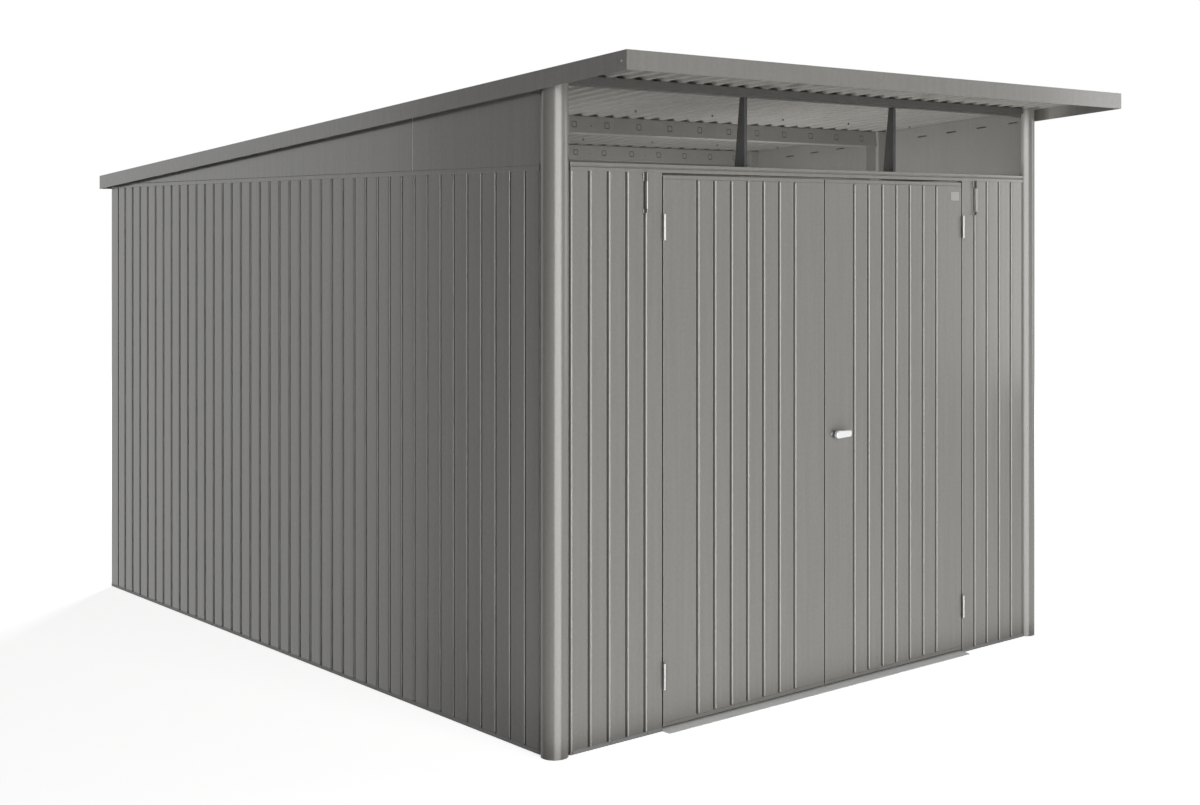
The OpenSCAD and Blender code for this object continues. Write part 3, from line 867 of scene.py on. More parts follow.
@dataclass
class Window:
    """The clear strip over the doors, its brackets, the lintel below it and the header above it.

    Args:
        edge: Radius of the lintel's and the header's edges.
        bracket_edge: Radius of the brackets' edges.
    """

    edge: float = 0.0009
    bracket_edge: float = 0.0006

    def dress_nodes(self) -> None:
        """Gives the window's pieces their finishes."""
        dress("window_pane", CLEAR_ACRYLIC)
        dress("window_brackets", BLACK_ENAMEL_AND_SHADE, self.bracket_edge)
        dress("front_lintel", PAINTED_SHEET, self.edge)
        dress("front_header", BRACKET_ENAMEL, self.edge)

    def shade_frame_gaps(self) -> None:
        """Paints shade into the frame's gaps with black strips: one beside the right leaf and one under the
        lintel.
        """
        low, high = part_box("right_door_leaf")
        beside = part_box("front_right_panel")[0].x
        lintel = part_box("front_lintel")[0].z
        back = high.y - GAP_SHADE_SIZES.back
        gap_shade = Draft()
        gap_shade.add_box(
            (beside - GAP_SHADE_SIZES.tape, low.y + GAP_SHADE_SIZES.side_strip_in, low.z), (beside + GAP_SHADE_SIZES.sunk, back, high.z)
        )
        gap_shade.add_box(
            (-high.x, low.y + GAP_SHADE_SIZES.lintel_in, lintel - GAP_SHADE_SIZES.lintel), (high.x, back, lintel + GAP_SHADE_SIZES.sunk)
        )
        gap_shade.piece("frame_gap_shade", Body.SHED, SHADE_BLACK)

    def build(self) -> None:
        """Dresses the window and paints shade into the gaps of the frame round the doors."""
        self.dress_nodes()
        self.shade_frame_gaps()


@dataclass
class RoofPlane:
    """The sloping plane of the roof sheets' underside, from the header to the rail on the back wall.

    Args:
        front_y: Y of the front wall's plane.
        front_z: Height of the underside there.
        back_y: Y of the back wall's plane.
        back_z: Height of the underside there.
    """

    front_y: float = -1.5015
    front_z: float = 2.1763
    back_y: float = 1.8365
    back_z: float = 1.9194

    @property
    def pitch(self) -> float:
        """The angle of the slope."""
        return math.atan2(self.front_z - self.back_z, self.back_y - self.front_y)

    @property
    def normal(self) -> Vector:
        """The direction out of the roof."""
        return Vector((0, math.sin(self.pitch), math.cos(self.pitch)))

    @property
    def down(self) -> Vector:
        """The direction down the slope."""
        return Vector((0, math.cos(self.pitch), -math.sin(self.pitch)))

    def at(self, x: float, y: float, height: float = 0.0) -> Vector:
        """Returns a point over a place on the plane.

        Args:
            x: X of the place.
            y: Y of the place.
            height: Height square to the plane.

        Returns:
            The point in the frame.
        """
        z = self.front_z - (y - self.front_y) * math.tan(self.pitch)
        return Vector((x, y, z)) + self.normal * height


@dataclass
class Roof:
    """Ribbed sheets, fascia, beams, columns, gussets and the screws that hold the sheets.

    Args:
        plane: The sheets' underside.
        sheets: Number of sheets.
        sheet_w: Width of one sheet.
        sheet_gap: Clearance beside a sheet.
        sheet_ends: Clearance at its front and back ends.
        sheet: Thickness of a sheet.
        rib_step: Distance between ribs.
        rib_base: Width of a rib at its foot.
        rib_top: Width of a rib at its top.
        rib_h: Height of a rib.
        bend: Radius of the folds.
        beams: Names of the beams, from the front.
        beam_step: Distance between beams.
        beam_h: Height of a beam.
        beam_w: Width of its flanges.
        beam_lip: Height of its lips.
        beam_t: Thickness of its sheet.
        beam_bend: Radius of its folds.
        beam_hole: Radius of its small holes.
        beam_hole_drop: Distance of these holes below the beam's middle.
        punch: How far a punch or drill reaches to either side of a beam's face.
        tab: Size of a knock-out square.
        tab_slot: Width of the slot round it.
        tab_corner: Radius of its corners.
        tab_bridge: Width of the bridge that holds it.
        tab_step: Distance between squares.
        tab_first: X of one of the squares.
        tab_shade_strips: Where the black frame of painted shade in its slot starts and ends, measured in from
            the beam's face.
        gusset_in: Distance from a gusset's outer end to the middle of its two holes.
        gusset_hole: Radius of these holes.
        gusset_hole_x: Half the distance between them.
        gusset_hole_drop: Distance of the holes below the beam.
        slots: Number of places for slots along a gable.
        slot_first: Distance of the first gable slot from the front wall's plane.
        slot_step: Distance between gable slots.
        slot_size: Length and height of a slot.
        slot_drop: How far a slot lies below the sheets.
        slot_beam: Least distance between a slot's middle and a beam.
        slot_rail: Least distance between a slot's middle and the wall's rail.
        slot_cover: Where the cover of a slot starts and ends, measured in from the gable's face.
        slot_lining: Where the strip of painted shade behind it starts and ends.
        joint_w: Width of the painted highlight at a gable's joint.
        joint_in: How far this strip is let into the gable.
        joint_out: How far it stands out.
        joint_foot: Its distance above the wall's rail.
        joint_drop: Its distance below the sheets.
        tip_first: Distance of the first row of screw tips from the front wall's plane.
        tip_side: Distance of a tip from the sheets' joint.
        fascia_screw: Distances of a fascia screw from the front and from the top.
        fascia_head: Diameter of its head.
        fascia_edge: Radius of the fascia's edges.
        column_edge: Radius of the columns' edges.
    """

    plane: RoofPlane
    sheets: int = 6
    sheet_w: float = 0.4
    sheet_gap: float = 0.0003
    sheet_ends: Pair = (0.0001, 0.001)
    sheet: float = 0.001
    rib_step: float = 0.08
    rib_base: float = 0.062
    rib_top: float = 0.048
    rib_h: float = 0.010
    bend: float = 0.0045
    beams: tuple[str, ...] = ("front", "middle", "rear")
    beam_step: float = 0.8
    beam_h: float = 0.066
    beam_w: float = 0.040
    beam_lip: float = 0.012
    beam_t: float = 0.002
    beam_bend: float = 0.0028
    beam_hole: float = 0.0025
    beam_hole_drop: float = 0.004
    punch: float = 0.004
    tab: float = 0.025
    tab_slot: float = 0.003
    tab_corner: float = 0.005
    tab_bridge: float = 0.002
    tab_step: float = 0.165
    tab_first: float = -0.039
    tab_shade_strips: Pair = (0.0008, 0.0016)
    gusset_in: float = 0.032
    gusset_hole: float = 0.0035
    gusset_hole_x: float = 0.018
    gusset_hole_drop: float = 0.022
    slots: int = 20
    slot_first: float = 0.1
    slot_step: float = 0.16
    slot_size: Pair = (0.052, 0.005)
    slot_drop: float = 0.0447
    slot_beam: float = 0.076
    slot_rail: float = 0.017
    slot_cover: Pair = (0.0004, 0.00002)
    slot_lining: Pair = (0.0008, 0.0005)
    joint_w: float = 0.0014
    joint_in: float = 0.0004
    joint_out: float = 0.0002
    joint_foot: float = 0.001
    joint_drop: float = 0.03
    tip_first: float = 0.6
    tip_side: float = 0.006
    fascia_screw: Pair = (0.025, 0.033)
    fascia_head: float = 0.009
    fascia_edge: float = 0.002
    column_edge: float = 0.0008

    def beam_y(self, number: int) -> float:
        """Returns where a beam stands along the shed.

        Args:
            number: Its number from the front, which has the first beam as 1.

        Returns:
            Y of the beam's face.
        """
        return self.plane.front_y + number * self.beam_step

    def build_sheets(self) -> None:
        """Builds the ribbed sheets."""
        low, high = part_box("roof_sheets")
        gap, half = self.sheet_gap, self.rib_base / 2
        ends = (low.y + self.sheet_ends[0], high.y - self.sheet_ends[1])
        ribs = math.ceil(high.x / self.rib_step)
        draft = Draft()
        for number in range(self.sheets):
            start = (number - self.sheets / 2) * self.sheet_w
            left = start + gap if number > 0 else low.x
            right = start + self.sheet_w - gap if number < self.sheets - 1 else high.x
            corners = [(left, 0.0)]
            for i in range(-ribs, ribs):
                middle = (i + 0.5) * self.rib_step
                if middle - half > left + gap and middle + half < right - gap:
                    corners += fold(middle, self.rib_base, self.rib_top, self.rib_h)
            corners.append((right, 0.0))
            radii = [self.bend] * (len(corners) - 2)
            draft.add_sheet(corners, radii, self.sheet, lambda u, v, h: self.plane.at(u, h, v), ends)
        draft.piece("ribbed_roof_sheets", Body.SHED, PAINTED_ROOF, ["roof_sheets"])

    def square(self, size: float, corner: float) -> list[Pair]:
        """Returns a square with round corners, from the right of its upper bridge round to the left.

        Args:
            size: Width of the square.
            corner: Radius of its corners.

        Returns:
            Points down the right side, along the foot and up the left side.
        """
        inner = size / 2 - corner
        points = [(self.tab_bridge / 2, size / 2)]
        middles = ((inner, inner), (inner, -inner), (-inner, -inner), (-inner, inner))
        for quarter, (x, y) in enumerate(middles):
            for i in range(5):
                angle = (1 - quarter - i / 4) * math.pi / 2
                points.append((x + corner * math.cos(angle), y + corner * math.sin(angle)))
        return points + [(-self.tab_bridge / 2, size / 2)]

    def build_beam(self, name: str, number: int) -> None:
        """Builds one roof beam with its punched squares, small holes and painted shade in the squares' slots.

        Args:
            name: Which beam it is.
            number: Its number from the front.
        """
        node = f"{name}_roof_beam"
        low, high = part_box(node)
        y = self.beam_y(number)

        def place(across: float, up: float, along: float) -> Vector:
            """Puts a place in the beam's cross-section into the frame."""
            return self.plane.at(along, y, up - self.beam_h) + self.plane.down * across

        h, w, lip = self.beam_h, self.beam_w, self.beam_lip
        corners = [(w, h - lip), (w, h), (0.0, h), (0.0, 0.0), (w, 0.0), (w, lip)]
        beam, holes, shade_strips = Draft(), Draft(), Draft()
        beam.add_sheet(corners, [self.beam_bend] * 4, self.beam_t, place, (low.x, high.x))
        inside = self.square(self.tab - 2 * self.tab_slot, self.tab_corner - self.tab_slot)
        slot = self.square(self.tab, self.tab_corner) + inside[::-1]
        tabs = math.ceil(high.x / self.tab_step)
        for k in range(-tabs, tabs + 1):
            x = self.tab_first + k * self.tab_step
            if not low.x + self.tab < x < high.x - self.tab:
                continue
            shifted: Place = lambda u, v, a, x=x: place(a, h / 2 + v, x + u)
            holes.add_prism(slot, shifted, (-self.punch, self.punch))
            # Painted shade: a black frame in the square's slot stands for the shade inside the beam
            shade_strips.add_prism(slot, shifted, self.tab_shade_strips)
            if k % 2:
                where = place(-self.punch, h / 2 - self.beam_hole_drop, x + self.tab_step / 2)
                add_drill(holes, where, self.plane.down, self.beam_hole, (0.0, 2 * self.punch))
        beam.piece(f"{node}_punched", Body.SHED, PAINTED_ROOF, [node], holes)
        shade_strips.piece(f"{node}_slot_lining", Body.SHED, SHADE_BLACK)

    def build_gussets(self) -> None:
        """Builds the plates under the beams' ends, each with two holes near its top."""
        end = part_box("beam_gussets")[1].x
        draft, holes = Draft(), Draft()
        draft.add_node_mesh("beam_gussets")
        for number in range(1, len(self.beams) + 1):
            y = self.beam_y(number)
            z = self.plane.at(0, y).z - self.beam_h - self.gusset_hole_drop
            for side in Side:
                middle = side.value * (end - self.gusset_in)
                for x in (middle - self.gusset_hole_x, middle + self.gusset_hole_x):
                    reach = (-self.punch, 2 * self.punch)
                    add_drill(holes, (x, y, z), (0, 1, 0), self.gusset_hole, reach, 16)
        draft.piece("drilled_gussets", Body.SHED, PAINTED_ROOF, ["beam_gussets"], holes)

    def close_gables(self) -> None:
        """Closes the slots: wall paint outside, painted shade inside. Paints highlights at the joints."""
        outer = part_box("right_gable_front")[1].x
        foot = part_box("right_wall_rail")[1].z
        shade_strips, covers, edges = Draft(), Draft(), Draft()
        half_l, half_h = self.slot_size[0] / 2, self.slot_size[1] / 2
        outline = [(-half_l, -half_h), (half_l, -half_h), (half_l, half_h), (-half_l, half_h)]
        beams = [self.beam_y(number) for number in range(1, len(self.beams) + 1)]
        joint, half = beams[0], self.joint_w / 2
        top = self.plane.at(0, joint, -self.joint_drop).z
        for side in Side:
            for number in range(self.slots):
                y = self.plane.front_y + self.slot_first + number * self.slot_step
                middle = self.plane.at(0, y, -self.slot_drop)
                if min(abs(y - beam) for beam in beams) < self.slot_beam or middle.z < foot + self.slot_rail:
                    continue
                place: Place = lambda u, v, a, s=side.value, middle=middle: (
                    middle + Vector((s * (outer - a), 0, 0)) + self.plane.down * u + self.plane.normal * v
                )
                covers.add_prism(outline, place, self.slot_cover)
                # Painted shade: a black strip behind each slot stands for the shade inside the shed
                shade_strips.add_prism(outline, place, self.slot_lining)
            across = sorted((side.value * (outer - self.joint_in), side.value * (outer + self.joint_out)))
            # Painted highlight: a bright strip at the joint stands for the light along the seam of the
            # gable's sheets
            edges.add_box((across[0], joint - half, foot + self.joint_foot), (across[1], joint + half, top))
        covers.piece("gable_slot_covers", Body.SHED, PAINTED_SHEET)
        edges.piece("gable_joint_painted_highlight", Body.SHED, BARE_ALUMINIUM_AND_HIGHLIGHT)
        shade_strips.piece("gable_slot_lining", Body.SHED, BLACK_ENAMEL_AND_SHADE)

    def build_screws(self) -> None:
        """Builds the drill tips of the roof screws under the sheets, and the screws in the fascia."""
        tips, heads = Draft(), Draft()
        profile = [
            (0, 0.001), (0.0036, 0.001), (0.0036, -0.006), (0.0028, -0.007), (0.0024, -0.008), (0, -0.010),
        ]
        for bay in range(len(self.beams) + 1):
            y = self.beam_y(bay) + self.tip_first
            for number in range(self.sheets + 1):
                x = (number - self.sheets / 2) * self.sheet_w + self.tip_side
                tips.add_turned(profile, facing(self.plane.at(x, y), self.plane.normal), 12)
        tips.piece("roof_screw_tips", Body.SHED, BRACKET_ENAMEL)
        low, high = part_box("fascia_front")
        for side in Side:
            where = (side.value * high.x, low.y + self.fascia_screw[0], high.z - self.fascia_screw[1])
            add_screw(heads, where, (side.value, 0, 0), self.fascia_head)
        heads.piece("fascia_screws", Body.SHED, ZINC_STEEL)

    def build(self) -> None:
        """Builds and dresses the whole roof."""
        self.build_sheets()
        for number, name in enumerate(self.beams, 1):
            self.build_beam(name, number)
        self.build_gussets()
        self.close_gables()
        self.build_screws()
        dress("beam_columns", PAINTED_ROOF, self.column_edge)
        for name in ("front", "back", "left", "right"):
            dress(f"fascia_{name}", PAINTED_SHEET, self.fascia_edge)


@dataclass
class Door:
    """One door leaf: a folded tray with grooves that end short of its rims, its rails and its hinges.

    Args:
        side: Which leaf it is.
        grooves: Number of grooves.
        pitch: Distance between them.
        mouth: Width of a groove at the face.
        floor: Width of a groove's floor.
        depth: Depth of a groove.
        rim: Height of the flat rim above and below the grooves.
        run_out: Height over which a groove's end rises to the face.
        sheet: Thickness of the sheet.
        lip: Radius of a groove's lips.
        foot: Radius of the folds at its floor.
        edge_bend: Radius of the folds at the leaf's edges.
        line_w: Width of the pressed line between a rim and the grooves.
        line_d: Depth of that line.
        edge_zone: Width along the leaf's edges in which the skin is turned back.
        wide: Area from which a face of the skin counts as one of its broad outer faces.
        rail_edge: Radius of the inner rails' edges.
        hinge_edge: Radius of the hinges' edges.
    """

    side: Side
    grooves: int = 7
    pitch: float = 0.08
    mouth: float = 0.008
    floor: float = 0.008
    depth: float = 0.0135
    rim: float = 0.0165
    run_out: float = 0.003
    sheet: float = 0.0015
    lip: float = 0.006
    foot: float = 0.001
    edge_bend: float = 0.0018
    line_w: float = 0.0026
    line_d: float = 0.0014
    edge_zone: float = 0.005
    wide: float = 0.01
    rail_edge: float = 0.0008
    hinge_edge: float = 0.0005

    @property
    def body(self) -> Body:
        """The body that the leaf belongs to."""
        return Body.LEFT_DOOR if self.side is Side.LEFT else Body.RIGHT_DOOR

    def rows(self, low: float, high: float, reach: float) -> list[tuple[float, float, float]]:
        """Returns the heights at which the leaf's skin changes.

        Args:
            low: Height of the leaf's lower edge.
            high: Height of its upper edge.
            reach: Depth of its turned edges.

        Returns:
            Height, depth of the turned edge and share of the groove's depth.
        """
        r = self.edge_bend
        turned = [(0.0, reach, 0.0), (0.0, r * 2, 0.0)]
        for i in range(5):
            angle = i * math.pi / 8
            turned.append((r * (1 - math.cos(angle)), r * (1 - math.sin(angle)), 0.0))
        foot = self.rim - self.run_out / 2
        turned += [
            (foot - self.line_w, 0.0, 0.0),
            (foot - self.line_w / 2, self.line_d, 0.0),
            (foot, 0.0, 0.0),
        ]
        for share in (0.25, 0.5, 0.75, 1.0):
            turned.append((self.rim + (share - 0.5) * self.run_out, 0.0, (1 - math.cos(math.pi * share)) / 2))
        upper = [(high - z, d, s) for z, d, s in reversed(turned)]
        return [(low + z, d, s) for z, d, s in turned] + upper

    def build_leaf(self) -> None:
        """Builds the leaf's tray."""
        node = f"{self.side.word}_door_leaf"
        low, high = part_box(node)
        width, reach = high.x - low.x, high.y - low.y
        corners = [(0.0, reach), (0.0, 0.0)]
        for i in range(self.grooves):
            middle = width / 2 + (i - (self.grooves - 1) / 2) * self.pitch
            corners += fold(middle, self.mouth, self.floor, self.depth)
        corners += [(width, 0.0), (width, reach)]
        groove = [self.lip, self.foot, self.foot, self.lip]
        radii = [self.edge_bend] + groove * self.grooves + [self.edge_bend]
        across = [p for p, _ in rounded(corners, radii)]
        skin = []
        for z, turned, share in self.rows(low.z, high.z, reach):
            row = []
            for p in across:
                at_edge = p.x < self.edge_zone or p.x > width - self.edge_zone
                depth = max(p.y if at_edge else p.y * share, turned)
                row.append(Vector((low.x + p.x, low.y + depth, z)))
            skin.append(row)
        draft = Draft()
        draft.add_rows(skin)
        made = draft.piece(f"{self.side.word}_leaf_tray", self.body, PAINTED_SHEET, [node])
        made.modifiers.clear()
        self.thicken(made)

    def thicken(self, made: bpy.types.Object) -> None:
        """Gives the skin its thickness on the inner side and shades it evenly.

        Args:
            made: The skin, which comes out facing either way.
        """
        inward = sum(face.normal.y for face in made.data.polygons if face.area > self.wide)
        if inward > 0:
            made.data.flip_normals()
        solid = made.modifiers.new("sheet_thickness", "SOLIDIFY")
        solid.thickness, solid.offset = self.sheet, -1.0
        apply_modifiers(made)
        smooth(made)
        made.modifiers.new("even_shading", "WEIGHTED_NORMAL").keep_sharp = True

    def build_gap_shade(self) -> None:
        """Paints shade into the gaps round the leaf with black strips.

        A strip lies below each leaf and one on its left edge. The left leaf has a strip where they meet.
        """
        low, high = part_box(f"{self.side.word}_door_leaf")
        near = low.y + GAP_SHADE_SIZES.strip_in
        foot, top = low.z + GAP_SHADE_SIZES.clear, high.z - GAP_SHADE_SIZES.clear
        gap_shade = Draft()
        gap_shade.add_box(
            (low.x + GAP_SHADE_SIZES.clear, near, low.z - GAP_SHADE_SIZES.foot),
            (high.x - GAP_SHADE_SIZES.clear, low.y + GAP_SHADE_SIZES.foot_in, low.z + GAP_SHADE_SIZES.sunk),
        )
        gap_shade.add_box(
            (low.x - GAP_SHADE_SIZES.tape, low.y + GAP_SHADE_SIZES.side_strip_in, foot), (low.x + GAP_SHADE_SIZES.sunk, high.y - GAP_SHADE_SIZES.back, top)
        )
        if self.side is Side.LEFT:
            gap_shade.add_box(
                (high.x - GAP_SHADE_SIZES.sunk, near, foot), (high.x + GAP_SHADE_SIZES.meeting, low.y + GAP_SHADE_SIZES.meeting_in, top)
            )
        gap_shade.piece(f"{self.side.word}_leaf_seals", self.body, SHADE_BLACK)

    def dress_nodes(self) -> None:
        """Gives the rails and hinges their finishes."""
        dress(f"{self.side.word}_door_rails", PAINTED_SHEET, self.rail_edge)
        dress(f"{self.side.word}_hinge_frames", ZINC_STEEL, self.hinge_edge)
        dress(f"{self.side.word}_hinge_knuckles", ZINC_STEEL, self.hinge_edge)

    def build(self) -> None:
        """Builds and dresses the leaf."""
        self.build_leaf()
        self.build_gap_shade()
        self.dress_nodes()


@dataclass
class Fittings:
    """The turning handle, the bare plate on the right leaf and the stays beside the doors.

    Args:
        lever_taper: Height of the lever at its tip, as a share of its height at the axis.
        lever_square: Power that makes the tip squarer than a half circle, which has 1.
        lever_gap: Gap between the lever and the neck.
        lever_edge: Radius of the lever's edges.
        lever_parts: Number of straight parts round these edges.
        plate: Lowest and highest X and Z of the bare plate.
        plate_t: Thickness of the plate.
        plate_sunk: How far it is let into the leaf.
        plate_corner: Radius of its corners.
        plate_edge: Radius of its edges.
        stay_x: Distance of a stay from the middle.
        rod: Radius of a stay's rod.
        rod_out: Distance of the rod in front of the panel.
        rod_in: Distance of the rod's ends from the clips' outer ends.
        clip_t: Thickness of a clip's sheet.
        clip_out: Distance of a clip's feet in front of the panel.
        clip_bow: Half the width of a clip's bow over the rod.
        clip_foot: Half the width of a clip across its feet.
        clip_bend: Radius of its folds.
        clip_h: Heights of the lower and the upper clip.
        screw_x: Distance of a clip's screws from the rod.
        screw_out: Distance of the screws' seats in front of the panel.
        screw_head: Diameter of their heads.
    """

    lever_taper: float = 0.86
    lever_square: float = 0.62
    lever_gap: float = 0.0004
    lever_edge: float = 0.0035
    lever_parts: int = 5
    plate: tuple[float, float, float, float] = (0.731, 0.781, 1.793, 1.828)
    plate_t: float = 0.0012
    plate_sunk: float = 0.0002
    plate_corner: float = 0.003
    plate_edge: float = 0.0004
    stay_x: float = 0.88
    rod: float = 0.003
    rod_out: float = 0.011
    rod_in: float = 0.002
    clip_t: float = 0.0015
    clip_out: float = 0.0016
    clip_bow: float = 0.0055
    clip_foot: float = 0.011
    clip_bend: float = 0.004
    clip_h: Pair = (0.013, 0.028)
    screw_x: float = 0.0088
    screw_out: float = 0.0012
    screw_head: float = 0.005

    def build_neck(self, low: Vector, high: Vector) -> None:
        """Builds the handle's neck, a collar with a rounded front.

        Args:
            low: Lowest corner of the neck.
            high: Highest corner of the neck.
        """
        axis = (low + high) / 2
        length, r = high.y - low.y, (high.x - low.x) / 2
        end = length - 0.0003
        profile = [
            (0, 0), (r, 0), (r, 0.0022), (r - 0.0012, 0.0034), (r - 0.0022, 0.0038), (r - 0.0026, 0.0055),
            (r - 0.0026, length - 0.0022), (r - 0.0032, length - 0.0009), (r - 0.0046, end), (0, end),
        ]
        neck = Draft()
        neck.add_turned(profile, facing((axis.x, high.y, axis.z), (0, -1, 0)), 48)
        neck.piece("handle_neck", Body.RIGHT_DOOR, NICKEL, ["handle_base"])

    def build_lever(self, axis: Vector, back: float) -> None:
        """Builds the tapered lever, round at its axis and squarer at its tip.

        Args:
            axis: Point on the axis that it turns about.
            back: Y of the lever's back.
        """
        low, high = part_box("door_handle")
        rise = (high.z - low.z) / 2
        tip_r = rise * self.lever_taper
        tip = high.x - axis.x - tip_r
        round_end, square_end = [], []
        for i in range(13):
            angle = math.pi * i / 12 - math.pi / 2
            across, up = math.cos(angle), math.sin(angle)
            round_end.append((-rise * across, -rise * up))
            squared = abs(across) ** self.lever_square, abs(up) ** self.lever_square
            square_end.append(
                (tip + tip_r * math.copysign(squared[0], across), tip_r * math.copysign(squared[1], up))
            )
        lever = Draft()
        place: Place = lambda u, v, d: Vector((axis.x + u, d, axis.z + v))
        lever.add_prism(round_end + square_end, place, (low.y, back))
        made = lever.piece("handle_lever", Body.HANDLE, SATIN_CHROME, ["door_handle"], edge=self.lever_edge)
        made.modifiers["rounded_edges"].segments = self.lever_parts

    def build_plate(self) -> None:
        """Builds the bare plate near the top of the right leaf."""
        left, right, foot, top = self.plate
        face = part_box("right_door_leaf")[0].y
        r = self.plate_corner
        middles = ((right - r, top - r), (left + r, top - r), (left + r, foot + r), (right - r, foot + r))
        outline = []
        for quarter, (x, z) in enumerate(middles):
            for i in range(5):
                angle = (quarter + i / 4) * math.pi / 2
                outline.append((x + r * math.cos(angle), z + r * math.sin(angle)))
        plate = Draft()
        ends = (face - self.plate_t, face + self.plate_sunk)
        plate.add_prism(outline, lambda u, v, d: Vector((u, d, v)), ends)
        plate.piece("bare_plate", Body.RIGHT_DOOR, ANODISED, edge=self.plate_edge)

    def build_stays(self) -> None:
        """Builds the rod, the two clips and the screws of each door stay."""
        low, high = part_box("door_stays")
        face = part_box("front_left_panel")[0].y
        rods, clips = Draft(), Draft()
        r, bow, wing = self.rod, self.clip_bow, self.clip_foot
        reach = self.rod_out + r + self.clip_t
        clip = [(-wing, 0.0), (-bow, 0.0), (-bow, -reach), (bow, -reach), (bow, 0.0), (wing, 0.0)]
        length = high.z - low.z - 2 * self.rod_in
        rod = [(0, 0), (r * 0.7, 0), (r, r * 0.5), (r, length - r * 0.5), (r * 0.7, length), (0, length)]
        spans = ((low.z, low.z + self.clip_h[0]), (high.z - self.clip_h[1], high.z))
        for side in Side:
            x = side.value * self.stay_x
            place: Place = lambda u, v, h, x=x: Vector((x + u, face + v - self.clip_out, h))
            rods.add_turned(rod, facing((x, face - self.rod_out, low.z + self.rod_in), (0, 0, 1)), 20)
            for span in spans:
                clips.add_sheet(clip, [self.clip_bend] * 4, self.clip_t, place, span)
                for shift in (-self.screw_x, self.screw_x):
                    where = (x + shift, face - self.screw_out, sum(span) / 2)
                    add_screw(rods, where, (0, -1, 0), self.screw_head)
        rods.piece("door_stay_rods", Body.SHED, ZINC_STEEL, ["door_stays"])
        clips.piece("door_stay_clips", Body.SHED, GREY_ZINC)

    def build(self) -> None:
        """Builds all the fittings."""
        low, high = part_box("handle_base")
        self.build_neck(low, high)
        self.build_lever((low + high) / 2, low.y - self.lever_gap)
        self.build_plate()
        self.build_stays()


class Gives(Enum):
    """What a softbox gives to the things in front of it."""

    ALL = "light and reflections"
    LIGHT = "light"
    SHINE = "reflections"


@dataclass(frozen=True)
class Softbox:
    """One softbox.

    Args:
        name: Name of the lamp.
        where: Place of its middle.
        aim: Point that it faces.
        size: Width and height.
        power: Power in watts.
        gives: Whether it gives light, reflections or both.
    """

    name: str
    where: tuple[float, float, float]
    aim: tuple[float, float, float]
    size: Pair
    power: float
    gives: Gives = Gives.ALL

    def build(self) -> None:
        """Hangs the softbox in the studio."""
        data = bpy.data.lights.new(self.name, "AREA")
        data.shape, data.energy = "RECTANGLE", self.power
        data.size, data.size_y = self.size
        lamp = bpy.data.objects.new(self.name, data)
        lamp.location = self.where
        lamp.visible_camera = False
        lamp.visible_diffuse = self.gives is not Gives.SHINE
        lamp.visible_glossy = self.gives is not Gives.LIGHT
        lamp.rotation_euler = (Vector(self.aim) - Vector(self.where)).to_track_quat("-Z", "Y").to_euler()
        bpy.context.scene.collection.objects.link(lamp)


# The front softbox lights the front from above the camera, and the one on the floor lights the overhang.
# The two low ones are seen only in reflections: as bright lines on the posts and grooves, and as a sheen on
# the left wall. They reach below the floor, so that these run on to the ground. The right and left ones even
# out the front and the left wall, one lights the back, and the inner two light the roof's underside
SOFTBOXES = (
    Softbox("front_softbox", (-2.0, -9.2, 2.9), (-0.3, -1.5, 1.1), (6.0, 4.4), 370.0, Gives.LIGHT),
    Softbox("low_softbox", (-2.4, -9.2, 0.3), (-0.6, -1.5, 0.5), (8.4, 6.4), 1150.0, Gives.SHINE),
    Softbox("floor_softbox", (-0.5, -3.18, 0.02), (-0.5, -3.18, 3.0), (6.0, 3.24), 73.0, Gives.LIGHT),
    Softbox("right_softbox", (9.0, -5.6, 2.0), (0.6, -1.5, 1.1), (3.0, 3.6), 85.0),
    Softbox("left_softbox", (-5.2, 8.6, 1.6), (-1.3, 1.2, 1.1), (5.0, 4.0), 52.0, Gives.LIGHT),
    Softbox("left_low_softbox", (-4.9, 8.7, 0.4), (-1.0, 1.3, 0.4), (4.4, 7.6), 84.0, Gives.SHINE),
    Softbox("rear_softbox", (7.0, 8.0, 4.0), (0.3, 0.8, 1.2), (3.0, 3.0), 700.0),
    Softbox("inner_left_softbox", (-1.1, -0.9, 1.1), (1.25, -0.4, 2.1), (0.25, 0.5), 14.0, Gives.LIGHT),
    Softbox("inner_right_softbox", (0.1, -0.9, 1.1), (2.45, -0.4, 2.1), (0.25, 0.5), 14.0, Gives.LIGHT),
)


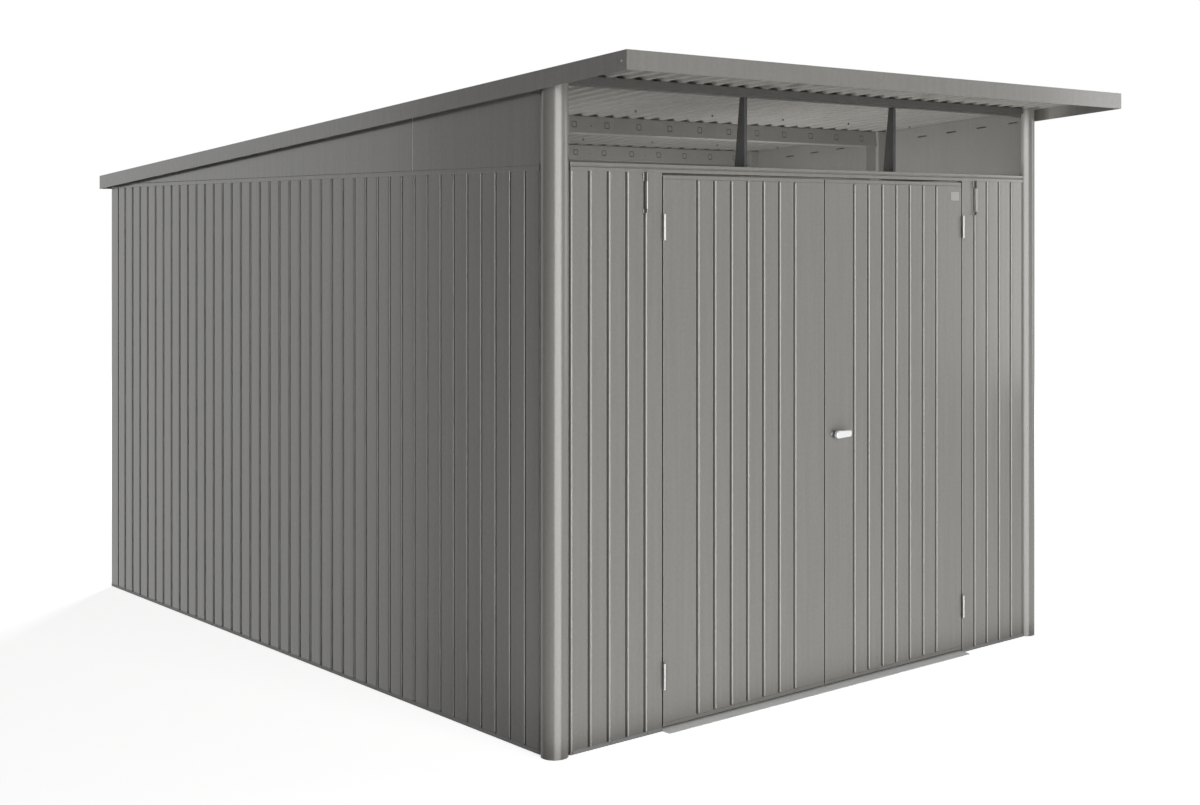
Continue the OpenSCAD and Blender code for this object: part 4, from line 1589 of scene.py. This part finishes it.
@dataclass
class Studio:
    """The camera, the pale floor, the white surroundings and the softboxes.

    Args:
        eye: Place of the camera.
        turn: Its heading in degrees.
        lens: Focal length in millimetres.
        sensor: Width of the sensor in millimetres.
        sight: How far the camera sees.
        shift: Vertical shift of the lens.
        ambient: Strength of the surroundings as light.
        shine: Strength of the surroundings in reflections.
        glow: Brightness that the floor adds where it is seen near the object.
        fade: Distances from the middle between which the floor turns to plain white.
        floor_half: Half the width of the floor.
        floor_span: Heights of the floor's underside and of its surface, which is just below the base rails.
        floor_paint: Colour of the floor.
    """

    eye: tuple[float, float, float] = (-4.5576, -5.6474, 1.6958)
    turn: float = -40.03
    lens: float = 50.06
    sensor: float = 36.0
    sight: float = 200.0
    shift: float = -0.1478
    ambient: float = 0.06
    shine: float = 0.5
    glow: float = 0.8
    fade: Pair = (3.2, 6.5)
    floor_half: float = 30.0
    floor_span: Pair = (-0.05, -0.0005)
    floor_paint: str = "#e9e9e9"

    def place_camera(self) -> None:
        """Places the camera at the photograph's viewing angle."""
        data = bpy.data.cameras.new("camera")
        data.lens, data.sensor_width, data.shift_y = self.lens, self.sensor, self.shift
        data.clip_end = self.sight
        camera = bpy.data.objects.new("camera", data)
        camera.location = self.eye
        camera.rotation_euler = (math.pi / 2, 0.0, math.radians(self.turn))
        bpy.context.scene.collection.objects.link(camera)
        bpy.context.scene.camera = camera

    def seen(self, tree: bpy.types.NodeTree) -> bpy.types.NodeSocket:
        """Adds nodes that tell the rays that see the surroundings from those that only carry light.

        Args:
            tree: The node tree to add to.

        Returns:
            A socket that is 1 for camera and transmission rays, and less for glossy rays.
        """
        rays = add_node(tree, "ShaderNodeLightPath").outputs
        shine = add_node(
            tree, "ShaderNodeMath", {"operation": "MULTIPLY", 1: self.shine}, {0: rays["Is Glossy Ray"]}
        )
        first = add_node(
            tree, "ShaderNodeMath", {"operation": "MAXIMUM"}, {0: rays["Is Camera Ray"], 1: shine.outputs[0]}
        )
        through = rays["Is Transmission Ray"]
        every = add_node(tree, "ShaderNodeMath", {"operation": "MAXIMUM"}, {0: first.outputs[0], 1: through})
        return every.outputs[0]

    def make_surroundings(self) -> None:
        """Makes the white world round the shed."""
        world = bpy.data.worlds.new("white_studio")
        world.use_nodes = True
        bpy.context.scene.world = world
        tree = world.node_tree
        tree.nodes.clear()
        level = add_node(
            tree,
            "ShaderNodeMapRange",
            {"To Min": self.ambient, "To Max": 1.0},
            {"Value": self.seen(tree)},
        )
        back = add_node(
            tree, "ShaderNodeBackground", {"Color": (1.0, 1.0, 1.0, 1.0)}, {"Strength": level.outputs[0]}
        )
        add_node(tree, "ShaderNodeOutputWorld", None, {0: back.outputs[0]})

    def floor_material(self) -> bpy.types.Material:
        """Returns the floor's paint, which turns to plain white away from the shed."""
        paint = bpy.data.materials.new("white_floor_paint")
        paint.use_nodes = True
        tree = paint.node_tree
        tree.nodes.clear()
        lit = add_node(tree, "ShaderNodeBsdfDiffuse", {"Color": linear(self.floor_paint)})
        at = add_node(tree, "ShaderNodeTexCoord").outputs["Object"]
        far = add_node(tree, "ShaderNodeVectorMath", {"operation": "LENGTH"}, {0: at})
        level = add_node(
            tree,
            "ShaderNodeMapRange",
            {"From Min": self.fade[0], "From Max": self.fade[1], "To Min": self.glow, "To Max": 1.0},
            {"Value": far.outputs["Value"]},
        )
        strength = add_node(
            tree, "ShaderNodeMath", {"operation": "MULTIPLY"}, {0: self.seen(tree), 1: level.outputs[0]}
        )
        glow = add_node(tree, "ShaderNodeEmission", None, {"Strength": strength.outputs[0]})
        total = add_node(tree, "ShaderNodeAddShader", None, {0: lit.outputs[0], 1: glow.outputs[0]})
        add_node(tree, "ShaderNodeOutputMaterial", None, {0: total.outputs[0]})
        return paint

    def lay_floor(self) -> None:
        """Lays the pale floor that the shed stands on."""
        half, (under, surface) = self.floor_half, self.floor_span
        draft = Draft()
        draft.add_box((-half, -half, under), (half, half, surface))
        floor = draft.loose("floor")
        floor.data.materials.append(self.floor_material())
        # The floor isn't seen in reflections, so that those of the low softboxes run on to the ground
        floor.visible_glossy = False

    def build(self) -> None:
        """Sets up the studio."""
        bpy.context.scene.view_settings.view_transform = "Standard"
        self.place_camera()
        self.make_surroundings()
        self.lay_floor()
        for softbox in SOFTBOXES:
            softbox.build()


def main() -> None:
    """Builds every sub-assembly in order."""
    logging.basicConfig(level=logging.INFO)
    Studio().build()
    Walls().build()
    Window().build()
    Roof(RoofPlane()).build()
    for side in Side:
        Door(side).build()
    Fittings().build()


if __name__ == "__main__":
    main()
